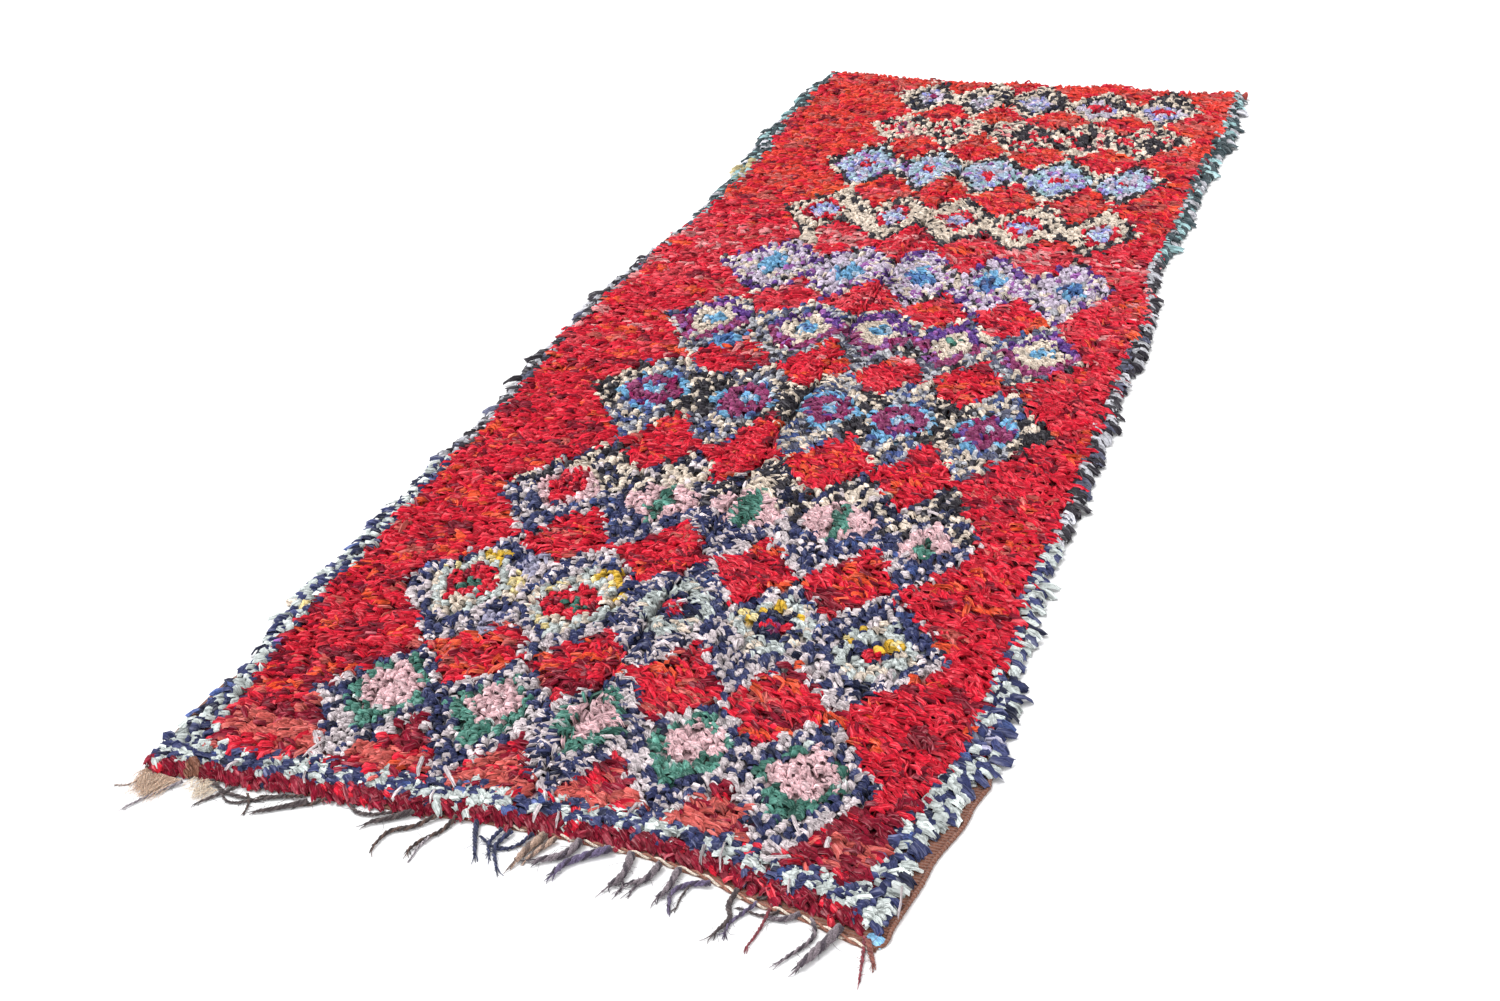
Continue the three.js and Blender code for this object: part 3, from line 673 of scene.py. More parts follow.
def lock_points(locks, folds):
    """The points of all the locks, as (locks, points, 3) in the rug's millimetres."""
    count = len(locks["across"])
    one = (count, 1, 1)
    column = {key: value[:, None, None] for key, value in locks.items()}
    share = STATIONS[None, :, None]
    ragged = rng.uniform(*RAGGED, (count, 1, WIDE)) * share ** 4
    going = (FORWARD[None, :, None] + ragged) * column["length"]
    width = WIDTH[None, :] + (STATIONS[None, :] == 1) * rng.uniform(*TIP_WIDTH, (count, 1))
    side = ACROSS[None, None, :] * width[:, :, None] * column["half"]
    side = side + rng.normal(0, NOISE["swerve"], one) * column["length"] * share ** 2
    side = side + rng.normal(0, NOISE["side"], (count, STEPS, WIDE))
    rise = SHINGLE[None, :, None] * (1 - column["fall"]) + OVERHANG[None, :, None] * column["fall"]
    rise = rise + rng.normal(0, NOISE["lift"], one) * share ** 3
    lift = column["foot"] + (column["height"] - column["foot"]) * rise + folds
    turn_x, turn_y = np.cos(column["heading"]), np.sin(column["heading"])
    x = column["across"] + going * turn_x + side * turn_y
    y = column["along"] + going * turn_y - side * turn_x
    z = np.maximum(lift, LOWEST)
    return np.stack(np.broadcast_arrays(x, y, z), axis=-1).reshape(count, -1, 3)


print(len(LOCK_FACES), "triangles in a lock")

# %% [markdown]
# A mesh of many locks is made from arrays, because adding eight hundred thousand
# faces one by one is slow in Python. Each lock keeps its colour in a point
# attribute, with painted shade at its root and painted light toward its tip and on
# the ridges of its folds. Some locks are also blended pale on their ridge and at
# their edges, which is painted highlight and also stands for frayed cloth. Each lock
# also has its own cell in the texture map named OFBake, so a baked picture can hold
# every lock apart.

# %% Turn locks into a mesh
CELL_MARGIN = 0.06
SHADE_SPREAD = 0.15
# These three paint shade at a lock's root and light toward its tip and on its fold ridges.
ROOT_LIGHT = 0.46
TIP_GAIN = 0.7
RELIEF_GAIN = 0.2
RELIEF_FULL = 3
# The pale blend below is painted highlight on ridges and edges, and also stands for frayed cloth.
HIGHLIGHT_AND_FRAY_MOST = 0.7
HIGHLIGHT_AND_FRAY_LEAST = 0.1
HIGHLIGHT_AND_FRAY_RARITY = 2.4
HIGHLIGHT_AND_FRAY_GAIN = 1.7
HIGHLIGHT_AND_FRAY_TONE = 0.2
HIGHLIGHT_AND_FRAY_LIMIT = 0.85


def bare_mesh(name, points, faces):
    """A mesh object from arrays of points in metres and triangles."""
    mesh = bpy.data.meshes.new(name)
    mesh.vertices.add(len(points))
    mesh.vertices.foreach_set("co", points.astype(np.float32).ravel())
    mesh.loops.add(faces.size)
    mesh.loops.foreach_set("vertex_index", faces.astype(np.int32).ravel())
    mesh.polygons.add(len(faces))
    mesh.polygons.foreach_set("loop_start", np.arange(0, faces.size, 3, dtype=np.int32))
    mesh.update(calc_edges=True)
    mesh.validate()
    piece = bpy.data.objects.new(name, mesh)
    bpy.context.scene.collection.objects.link(piece)
    return piece


def paint(piece, attribute, values):
    """Stores four numbers a point on the mesh, for the materials to read."""
    layer = piece.data.attributes.new(attribute, "FLOAT_COLOR", "POINT")
    layer.data.foreach_set("color", np.asarray(values, np.float32).ravel())


def lock_cells(count):
    """The texture place of each corner of each lock, in a square sheet of cells."""
    size = 1 - 2 * CELL_MARGIN
    places = [((ACROSS[p % WIDE] + 1) / 2, STATIONS[p // WIDE]) for p in range(LOCK_POINTS)]
    corners = (np.array(places) * size + CELL_MARGIN)[LOCK_FACES.ravel()]
    columns = math.ceil(math.sqrt(count))
    cell = np.arange(count)
    origin = np.stack([cell % columns, cell // columns], axis=-1)
    return ((origin[:, None] + corners[None]) / columns).reshape(-1, 2)


def palette_light():
    """The light of every rag of the palette, in the order of its numbers."""
    return linear(np.array([PALETTE[name] for name in NAMES]))


def lock_shades(locks, folds):
    """The colour of each point: painted shade at the root, painted light toward the tip and on fold ridges,
    and a pale blend of painted highlight and frayed cloth.
    """
    count = len(locks["across"])
    shades = palette_light()[locks["colour"].astype(int)]
    shades = shades * np.exp(rng.normal(0, SHADE_SPREAD, (count, 1)))
    relief = np.clip(folds / RELIEF_FULL, -1, 1).reshape(count, -1)
    outward = np.repeat(STATIONS, WIDE)[None, :]
    edge = np.tile(np.abs(ACROSS), STEPS)[None, :]
    # Painted shade at the root, painted light toward the tip and on fold ridges.
    light = (ROOT_LIGHT + TIP_GAIN * outward) * (1 + RELIEF_GAIN * relief)
    # Share of the pale blend: painted highlight on ridges and edges, partly frayed cloth.
    highlight_and_fray_share = HIGHLIGHT_AND_FRAY_LEAST + HIGHLIGHT_AND_FRAY_MOST * rng.random((count, 1)) ** HIGHLIGHT_AND_FRAY_RARITY
    highlight_and_fray_share = highlight_and_fray_share * np.maximum(np.clip(relief, 0, 1), edge * rng.random((count, LOCK_POINTS))) * outward
    highlight_and_fray_colour = np.minimum(shades * HIGHLIGHT_AND_FRAY_GAIN + HIGHLIGHT_AND_FRAY_TONE, HIGHLIGHT_AND_FRAY_LIMIT)[:, None]
    highlight_and_fray_share = highlight_and_fray_share[..., None]
    colours = shades[:, None] * light[..., None] * (1 - highlight_and_fray_share) + highlight_and_fray_colour * highlight_and_fray_share
    return np.concatenate([colours, light[..., None]], axis=-1)


def lock_mesh(name, locks):
    """One piece of many locks, coloured and mapped."""
    count = len(locks["across"])
    folds = lock_folds(locks)
    points = in_metres(lock_points(locks, folds).reshape(-1, 3))
    faces = (LOCK_FACES[None] + np.arange(count)[:, None, None] * LOCK_POINTS).reshape(-1, 3)
    piece = bare_mesh(name, points, faces)
    paint(piece, "rag", lock_shades(locks, folds).reshape(-1, 4))
    layer = piece.data.uv_layers.new(name="OFBake")
    layer.data.foreach_set("uv", lock_cells(count).astype(np.float32).ravel())
    piece.data.polygons.foreach_set("use_smooth", np.ones(len(faces), bool))
    return piece


print("cells for 3000 locks:", lock_cells(3000).max(axis=0))

# %% [markdown]
# The knots of the field stand in rows that bow as the ends of the rug do. Their
# strips lie sideways, to the left on the left half and to the right on the right
# half, because the rug lay folded along its middle. At that fold the pile parts:
# narrow strips stand up there and fan out. The creases across dip, and the pile
# has slow lumps all over. The red field is of long thin strips and the lattice of
# short lumps. A strip's colour is looked up where it shows, not at its knot, so
# that the pattern stays where it was charted.

# %% Plant the field
ROW_PITCH = 12.2
KNOT_PITCH = 14.4
FIELD_START = 56
TYPICAL_NEAR = 42
PILE_HEIGHT = 21
SHOWS_AT = 0.55
SIDEWAYS = math.radians(17)
CREST = {"near": 592, "far": 554, "rise": 8, "half": 26, "parting": 44}
CREASES = (
    {"along": 775, "from": -60, "to": 330, "drop": 7},
    {"along": 1037, "from": -60, "to": 300, "drop": 6},
    {"along": 1312, "from": -60, "to": 190, "drop": 9},
    {"along": 770, "from": 880, "to": 1230, "drop": 6},
    {"along": 376, "from": 770, "to": 920, "drop": 6},
    {"along": 2000, "from": 0, "to": 1140, "drop": 5},
)
CREASE_HALF = 13
LUMPS = rng.uniform(0, 2 * math.pi, (6, 2))
SWELL = {"first": 110, "longer": 62, "across": 2.9, "along": 3.7, "high": 1.1}
PLACE_SLIP = 0.18


def slow_lumps(across, along):
    """Broad swells of the pile, a few millimetres high."""
    swell = np.zeros(len(across))
    for k, (first, second) in enumerate(LUMPS):
        wave = SWELL["first"] + SWELL["longer"] * k
        side = np.sin(across / wave * SWELL["across"] + first + k)
        swell += side * np.sin(along / wave * SWELL["along"] + second)
    return swell * SWELL["high"]


def crest_across(along):
    return np.interp(along, (0, PILE_LENGTH), (CREST["near"], CREST["far"]))


def off_crest(across, along):
    return across - crest_across(along)


def pile_height(across, along):
    """The height of the pile over the floor at each knot."""
    height = PILE_HEIGHT + slow_lumps(across, along)
    height += CREST["rise"] * np.exp(-((off_crest(across, along) / CREST["half"]) ** 2))
    for crease in CREASES:
        inside = (across > crease["from"]) & (across < crease["to"])
        dip = crease["drop"] * np.exp(-(((along - crease["along"]) / CREASE_HALF) ** 2))
        height -= np.where(inside, dip, 0)
    return height


def along_rows(behind, across):
    """Where a row that lies `behind` the near edge runs, at places across."""
    reach = (far_edge(across) - near_edge(across)) / PILE_LENGTH
    return near_edge(across) + behind * reach


def knot_rows(start, stop, row_pitch, knot_pitch, left, right):
    """The places of knots in staggered rows between two edges across."""
    places = []
    for number, behind in enumerate(np.arange(start, stop, row_pitch)):
        across = np.arange(left(behind) + knot_pitch * (number % 2) / 2, right(behind), knot_pitch)
        across = across + rng.normal(0, PLACE_SLIP * knot_pitch, len(across))
        along = along_rows(behind, across) + rng.normal(0, PLACE_SLIP * row_pitch, len(across))
        places.append(np.stack([across, along], axis=-1))
    return np.concatenate(places).T


def coloured(locks):
    """Adds each lock's colour, read from the chart where the lock shows."""
    ahead = SHOWS_AT * locks["length"]
    across = locks["across"] + ahead * np.cos(locks["heading"])
    along = locks["along"] + ahead * np.sin(locks["heading"])
    locks["colour"], _ = pattern(across, along)
    return locks


def inner_side(side):
    return lambda behind: read(INNER_SIDES, "along", behind + TYPICAL_NEAR, side)


TWIN = {"apart": 3.0, "opens": 0.5, "slip": 1, "height": 1.4, "length": (0.72, 1.12), "half": (0.78, 1.2)}


def twinned(locks, turn=0.26):
    """Both ends of each strip: two locks of one colour that part a little."""
    count = 2 * len(locks["across"])
    both = {key: np.repeat(value, 2) for key, value in locks.items()}
    side = np.tile((-1.0, 1.0), count // 2)
    away = side * TWIN["apart"]
    both["across"] = both["across"] - away * np.sin(both["heading"]) + rng.normal(0, TWIN["slip"], count)
    both["along"] = both["along"] + away * np.cos(both["heading"]) + rng.normal(0, TWIN["slip"], count)
    both["heading"] = both["heading"] + side * rng.normal(TWIN["opens"], 1, count) * turn
    both["height"] = both["height"] + rng.normal(0, TWIN["height"], count)
    both["length"] = both["length"] * rng.uniform(*TWIN["length"], count)
    both["half"] = both["half"] * rng.uniform(*TWIN["half"], count)
    return both


STRIP = {"length": (27, 42), "half": (2.8, 4.4), "swing": 0.15, "rough": 1.7, "fold": 1.3}
LUMP = {"length": (15, 22), "half": (4.2, 6.2), "swing": 0.3, "rough": 1.2, "fold": 1.6}
FIELD_LOCK = {"foot": 9.0, "fall": (0, 0.25)}
COMBED = {"outward": 0.88, "crossed": 0.1, "crossing": 0.8}
WIDE_NEAR = {"along": (150, 300), "times": (1.5, 1)}
NARROWER_AT_CREST = 0.3
SHORTER_AT_LATTICE = 0.7
LOOK_AHEAD = 11
NEAR_TIP = 26


def either(lattice, key):
    """A draw for each knot: from the lattice's lumps or from the field's long strips."""
    return np.where(lattice, rng.uniform(*LUMP[key], len(lattice)), rng.uniform(*STRIP[key], len(lattice)))


def field_locks():
    across, along = knot_rows(
        FIELD_START, PILE_LENGTH - 4, ROW_PITCH, KNOT_PITCH, inner_side("left"), inner_side("right")
    )
    count = len(across)
    off = off_crest(across, along)
    parted = np.exp(-((off / CREST["parting"]) ** 2))
    outward = np.where(rng.random(count) < COMBED["outward"], np.sign(off), -np.sign(off))
    dip = SIDEWAYS + np.where(rng.random(count) < COMBED["crossed"], COMBED["crossing"], 0)
    turn_x, turn_y = outward * np.cos(dip), -np.sin(dip)
    colour, lattice = pattern(across + LOOK_AHEAD * turn_x, along + LOOK_AHEAD * turn_y)
    _, crossing = pattern(across + NEAR_TIP * turn_x, along + NEAR_TIP * turn_y)
    dip = dip + rng.normal(0, 1, count) * np.where(lattice, LUMP["swing"], STRIP["swing"])
    wide = np.where(lattice, 1, np.interp(along, WIDE_NEAR["along"], WIDE_NEAR["times"]))
    wide = wide * (1 - NARROWER_AT_CREST * parted)
    length = either(lattice, "length") * np.where(crossing & ~lattice, SHORTER_AT_LATTICE, 1)
    back = np.maximum(0, SHOWS_AT * length - LOOK_AHEAD)
    half = either(lattice, "half") * wide
    rough = rng.normal(0, 1, count) * np.where(lattice, LUMP["rough"], STRIP["rough"])
    return twinned({
        "across": across - back * turn_x, "along": along - back * turn_y,
        "heading": np.where(outward > 0, -dip, math.pi + dip), "length": length, "half": half,
        "height": pile_height(across, along) + rough,
        "foot": np.full(count, FIELD_LOCK["foot"]), "fall": rng.uniform(*FIELD_LOCK["fall"], count),
        "fold": np.where(lattice, LUMP["fold"], STRIP["fold"]), "colour": colour,
    })


CREST_KNOTS = {"rows": 9, "knots": 7, "reach": 46, "start": 60, "short": 8, "spread": 0.8}
CREST_LOCK = {"length": (24, 40), "half": (2.2, 3.8), "stands": (0, 5), "foot": 8.0, "fold": 0.8}


def crest_locks():
    """The narrow strips that stand up along the old fold and fan out from it."""
    reach = CREST_KNOTS["reach"]
    across, along = knot_rows(
        CREST_KNOTS["start"], PILE_LENGTH - CREST_KNOTS["short"], CREST_KNOTS["rows"], CREST_KNOTS["knots"],
        lambda behind: crest_across(behind) - reach, lambda behind: crest_across(behind) + reach,
    )
    count = len(across)
    off = off_crest(across, along)
    heading = np.where(off > 0, 0, math.pi) + rng.normal(0, CREST_KNOTS["spread"], count)
    return coloured({
        "across": across, "along": along, "heading": heading,
        "length": rng.uniform(*CREST_LOCK["length"], count), "half": rng.uniform(*CREST_LOCK["half"], count),
        "height": pile_height(across, along) + rng.uniform(*CREST_LOCK["stands"], count),
        "foot": np.full(count, CREST_LOCK["foot"]), "fall": np.zeros(count),
        "fold": np.full(count, CREST_LOCK["fold"]),
    })


field = [field_locks(), crest_locks()]
print(sum(len(group["across"]) for group in field), "knots in the field")

# %% [markdown]
# The near end is closed by a band of navy and mint knots and then a tight roll of
# red ones, drawn down over the edge to the floor. Both are planted with the same
# strips as the field, in rows that follow the edge.

# %% Plant the band and the roll at the near end
BAND = (
    {"behind": 51, "height": 21}, {"behind": 42, "height": 21}, {"behind": 33, "height": 21},
    {"behind": 25, "height": 21}, {"behind": 18, "height": 20},
)
ROLL = ({"behind": 12, "height": 21}, {"behind": 8, "height": 19}, {"behind": 4, "height": 12})
BAND_LOCK = {
    "span": (-20, 1138), "pitch": 15, "dip": 0.1, "spread": 0.4,
    "length": (21, 28), "half": (6.5, 8.5), "fall": (0, 0.3),
}
ROLL_LOCK = {
    "span": (-20, 1124), "pitch": 11, "dip": 0.45, "spread": 0.14,
    "length": (18, 25), "half": (5, 6.6), "fall": (0.7, 1),
}
END_LOCK = {"backward": 0.2, "slip": 1.5, "rough": 1.2, "foot": 4.0, "fold": 1.8}
SLIPS_IN_PITCH = 6
ROLL_TURN = 0.12
ROLL_PATCH = {"from": 42, "to": 64, "rag": "brown"}
BAND_CHUNK = {"across": 22, "blur": 0.5}


def end_row(row, lock, colours):
    """One row of strips along the near end."""
    across = np.arange(*lock["span"], lock["pitch"])
    across = across + rng.normal(0, lock["pitch"] / SLIPS_IN_PITCH, len(across))
    count = len(across)
    heading = -lock["dip"] + rng.normal(0, lock["spread"], count)
    heading = np.where(rng.random(count) < END_LOCK["backward"], math.pi - heading, heading)
    return {
        "across": across,
        "along": along_rows(row["behind"], across) + rng.normal(0, END_LOCK["slip"], count),
        "heading": heading,
        "length": rng.uniform(*lock["length"], count), "half": rng.uniform(*lock["half"], count),
        "height": row["height"] + rng.normal(0, END_LOCK["rough"], count),
        "foot": np.full(count, END_LOCK["foot"]),
        "fall": rng.uniform(*lock["fall"], count), "fold": np.full(count, END_LOCK["fold"]),
        "colour": colours(across, count),
    }


def band_colours(across, count):
    blur = BAND_CHUNK["blur"] * rng.random(count)
    turn = np.floor(across / BAND_CHUNK["across"] + blur + rng.integers(0, 2))
    return draw("navy and mint", alternate(turn))


def roll_colours(across, count):
    patch = (across > ROLL_PATCH["from"]) & (across < ROLL_PATCH["to"])
    return np.where(patch, NAMES.index(ROLL_PATCH["rag"]), draw("roll", rng.random(count)))


ends = [twinned(end_row(row, BAND_LOCK, band_colours)) for row in BAND]
ends += [twinned(end_row(row, ROLL_LOCK, roll_colours), ROLL_TURN) for row in ROLL]
print(sum(len(group["across"]) for group in ends), "knots at the near end")

# %% [markdown]
# On both sides a border of broad strips is combed outward over the edge and down
# to the floor. It alternates light and dark, which gives the jagged edge its look.

# %% Plant the side borders
BORDER_PITCH = 16
BORDER_START = 16
BORDER_STEP = 14
BORDER_HANG = {"left": 32, "right": 26}
BARE_SHOWS = {"left": 0.1, "right": 0.8}
OUTWARD = {"left": -1, "right": 1}
BORDER_SLIP = {"across": 2, "along": 1.8, "free": 6, "turn": 0.35}
BORDER_LEAN = (0.2, 0.26)
LAST_KNOT = {"length": (20, 44), "height": (15, 19), "fall": (0.75, 1.0)}
INNER_KNOT = {"length": (24, 31), "height": (18, 22), "fall": 0.35}
BORDER_LOCK = {"half": (6.4, 8.6), "foot": 4.0, "fold": 1.9}
ODD_SHARE = 0.6
ODD_BORDER = (
    {"side": "left", "along": 2380, "half": 55, "mix": "olive"},
    {"side": "left", "along": 440, "half": 12, "mix": "straw"},
    {"side": "left", "along": 345, "half": 12, "mix": "orchid"},
    {"side": "right", "along": 425, "half": 24, "mix": "lavender"},
)


def border_colours(side, across, along, turn):
    lot = alternate(turn)
    colours = np.zeros(len(across), int)
    for stretch in reversed(BORDERS):
        colours = np.where(along < stretch["upto"], draw(stretch["mix"], lot), colours)
    for odd in ODD_BORDER:
        near = (np.abs(along - odd["along"]) < odd["half"]) & (rng.random(len(across)) < ODD_SHARE)
        if side == odd["side"]:
            colours = np.where(near, draw(odd["mix"], lot), colours)
    return colours


def border_locks(side):
    rows = []
    for number, behind in enumerate(np.arange(BORDER_START, PILE_LENGTH, BORDER_PITCH)):
        inner = read(INNER_SIDES, "along", behind + TYPICAL_NEAR, side)
        level = behind * LAST_LEVEL / PILE_LENGTH
        bare = read(BARE, "along", level, side) * (1 - BARE_SHOWS[side])
        outer = side_reach(side, level) + OUTWARD[side] * bare
        hang = BORDER_HANG[side]
        room = abs(outer - inner) - hang
        steps = max(2, round(room / BORDER_STEP) + 1)
        for k in range(steps):
            rows.append((outer - OUTWARD[side] * (hang + room * (1 - k / (steps - 1))),
                         behind, outer, k == steps - 1, number + k))
    start, behind, outer, last, turn = np.array(rows, float).T
    last = last > 0
    count = len(start)
    across = start + rng.normal(0, BORDER_SLIP["across"], count)
    along = along_rows(behind, across) + rng.normal(0, BORDER_SLIP["along"], count)
    lean = rng.normal(*BORDER_LEAN, count)
    heading = np.where(OUTWARD[side] > 0, -lean, math.pi + lean)
    free = np.abs(outer - across) + rng.normal(0, BORDER_SLIP["free"], count)
    free = np.clip(free, *LAST_KNOT["length"])
    turn = np.floor(turn + BORDER_SLIP["turn"] * rng.random(count))
    return {
        "across": across, "along": along, "heading": heading,
        "length": np.where(last, free, rng.uniform(*INNER_KNOT["length"], count)),
        "half": rng.uniform(*BORDER_LOCK["half"], count),
        "height": np.where(
            last, rng.uniform(*LAST_KNOT["height"], count), rng.uniform(*INNER_KNOT["height"], count)
        ),
        "foot": np.full(count, BORDER_LOCK["foot"]),
        "fall": np.where(last, rng.uniform(*LAST_KNOT["fall"], count), INNER_KNOT["fall"]),
        "fold": np.full(count, BORDER_LOCK["fold"]),
        "colour": border_colours(side, across, along, turn),
    }


borders = [twinned(border_locks(side)) for side in OUTWARD]
print(sum(len(group["across"]) for group in borders), "knots in the borders")

# %% [markdown]
# The far end is the last row to be knotted. Its locks have nothing behind them, so
# they stand up and lean outward.

# %% Plant the far end
FAR_ROW = {"from": 0, "to": 1140, "pitch": 9, "slip": 2.5, "behind": (6, 16), "spread": 0.5}
FAR_LOCK = {
    "length": (12, 26), "half": (5, 8), "height": (18, 24), "foot": 4.0, "fall": (0, 0.6), "fold": 1.4,
}


def far_locks():
    across = np.arange(FAR_ROW["from"], FAR_ROW["to"], FAR_ROW["pitch"])
    across = across + rng.normal(0, FAR_ROW["slip"], len(across))
    count = len(across)
    return coloured({
        "across": across, "along": far_edge(across) - rng.uniform(*FAR_ROW["behind"], count),
        "heading": math.pi / 2 + rng.normal(0, FAR_ROW["spread"], count),
        "length": rng.uniform(*FAR_LOCK["length"], count), "half": rng.uniform(*FAR_LOCK["half"], count),
        "height": rng.uniform(*FAR_LOCK["height"], count), "foot": np.full(count, FAR_LOCK["foot"]),
        "fall": rng.uniform(*FAR_LOCK["fall"], count), "fold": np.full(count, FAR_LOCK["fold"]),
    })


far = [far_locks()]
print(len(far[0]["across"]), "knots at the far end")

# %% [markdown]
# Here and there a narrow white strip was left long. These tails are charted one
# by one, each from its root to its tip, and made as long thin locks. One broad sky
# blue strip lies at the near right corner.

# %% Plant the long tails
TAILS = {
    "root": ((195, 158), (228, 142), (395, 152), (432, 142), (403, 82), (452, 90), (616, 108),
             (650, 100), (875, 100), (900, 114), (949, 130), (1000, 108), (1155, 104), (1036, 160),
             (968, 188), (752, 150), (1010, 70), (240, 70), (128, 60), (590, 160)),
    "tip": ((228, 112), (224, 96), (408, 108), (474, 96), (401, 50), (452, 62), (618, 68),
            (655, 70), (877, 60), (902, 58), (986, 110), (962, 84), (1178, 52), (1036, 128),
            (985, 150), (742, 116), (1014, 44), (246, 44), (118, 34), (604, 128)),
    "half": (3, 4, 3, 3, 2, 2, 3, 2, 2.5, 2, 3, 3, 2, 4, 3, 3, 2, 2, 2.5, 3),
}
WHITE_TAILS = len(TAILS["root"])
TAILS["rag"] = ("shell",) * WHITE_TAILS
TAILS["high"] = (27,) * WHITE_TAILS
SKY_TAIL = {"root": (1136, 18), "tip": (1164, 8), "half": 8, "rag": "sky", "high": 8}
for key, value in SKY_TAIL.items():
    TAILS[key] += (value,)
TAIL_LOCK = {"foot": 0.6, "fall": 0.2, "fold": 0.7}


def tail_locks():
    root = np.array(TAILS["root"], float)
    going = np.array(TAILS["tip"], float) - root
    count = len(root)
    return {
        "across": root[:, 0], "along": root[:, 1], "heading": np.arctan2(going[:, 1], going[:, 0]),
        "length": np.hypot(*going.T), "half": np.array(TAILS["half"], float),
        "height": np.array(TAILS["high"], float), "foot": np.array(TAILS["high"]) * TAIL_LOCK["foot"],
        "fall": np.full(count, TAIL_LOCK["fall"]), "fold": np.full(count, TAIL_LOCK["fold"]),
        "colour": np.array([NAMES.index(rag) for rag in TAILS["rag"]]),
    }


tails = [tail_locks()]
print(len(tails[0]["across"]), "long tails")

# %% [markdown]
# Cotton jersey is matt, crumpled and never one even colour. The material multiplies
# each lock's own colour by a soft cloud. Streaks that run along the lock then paint
# shade into its crevices and a highlight onto its ridges, which also stands for pale
# frayed fibres, and they are bump as well, with crumples on top. The streaks follow
# the lock because they are read from its texture cell.

# %% Mix the rag material
def value_cloud(nodes, links, coordinate, scale, low, high, detail=2):
    """A soft grey cloud between two values."""
    cloud = nodes.new("ShaderNodeTexNoise")
    cloud.inputs["Scale"].default_value = scale
    cloud.inputs["Detail"].default_value = detail
    links.new(coordinate, cloud.inputs["Vector"])
    stretch = nodes.new("ShaderNodeMapRange")
    stretch.inputs["From Min"].default_value = 0.3
    stretch.inputs["From Max"].default_value = 0.7
    stretch.inputs["To Min"].default_value = low
    stretch.inputs["To Max"].default_value = high
    links.new(cloud.outputs["Fac"], stretch.inputs["Value"])
    return stretch.outputs["Result"]


def multiply(nodes, links, colour, value):
    """A colour times a grey value."""
    mixer = nodes.new("ShaderNodeVectorMath")
    mixer.operation = "SCALE"
    links.new(colour, mixer.inputs[0])
    links.new(value, mixer.inputs["Scale"])
    return mixer.outputs["Vector"]


def noise_on_cell(nodes, links, coordinate, wide, long):
    """Noise over a lock's own cell, with one scale across the lock and one along it."""
    stretch = nodes.new("ShaderNodeMapping")
    stretch.inputs["Scale"].default_value = (wide, long, 1)
    links.new(coordinate, stretch.inputs["Vector"])
    noise = nodes.new("ShaderNodeTexNoise")
    noise.inputs["Scale"].default_value = 1
    noise.inputs["Detail"].default_value = 2
    noise.inputs["Distortion"].default_value = 0.8
    links.new(stretch.outputs["Vector"], noise.inputs["Vector"])
    return noise.outputs["Fac"]


def ranged(nodes, links, value, span, result):
    """A value stretched from one span to another and held inside it."""
    stretch = nodes.new("ShaderNodeMapRange")
    for name, number in zip(("From Min", "From Max", "To Min", "To Max"), (*span, *result)):
        stretch.inputs[name].default_value = number
    links.new(value, stretch.inputs["Value"])
    return stretch.outputs["Result"]


def raised(nodes, links, height, depth, normal):
    """Bump of a given depth on top of the bump so far."""
    bump = nodes.new("ShaderNodeBump")
    bump.inputs["Strength"].default_value = 1.0
    bump.inputs["Distance"].default_value = depth
    links.new(height, bump.inputs["Height"])
    if normal:
        links.new(normal, bump.inputs["Normal"])
    return bump.outputs["Normal"]


CRUMPLES = ((150, 230, 0.006), (360, 480, 0.0014))
STREAKS = (400, 105, 0.003)
# Painted shade in the streaks' crevices and painted highlight on their ridges, the highlight partly standing
# for frayed fibres.
CREVICE_SHADE = {"span": (0.32, 0.5), "result": (0.46, 1.2)}
RIDGE_HIGHLIGHT_AND_FRAY = {"span": (0.55, 0.7), "result": (0, 0.7)}
RIDGE_HIGHLIGHT_AND_FRAY_GAIN = 1.5
RIDGE_HIGHLIGHT_AND_FRAY_TONE = 0.17


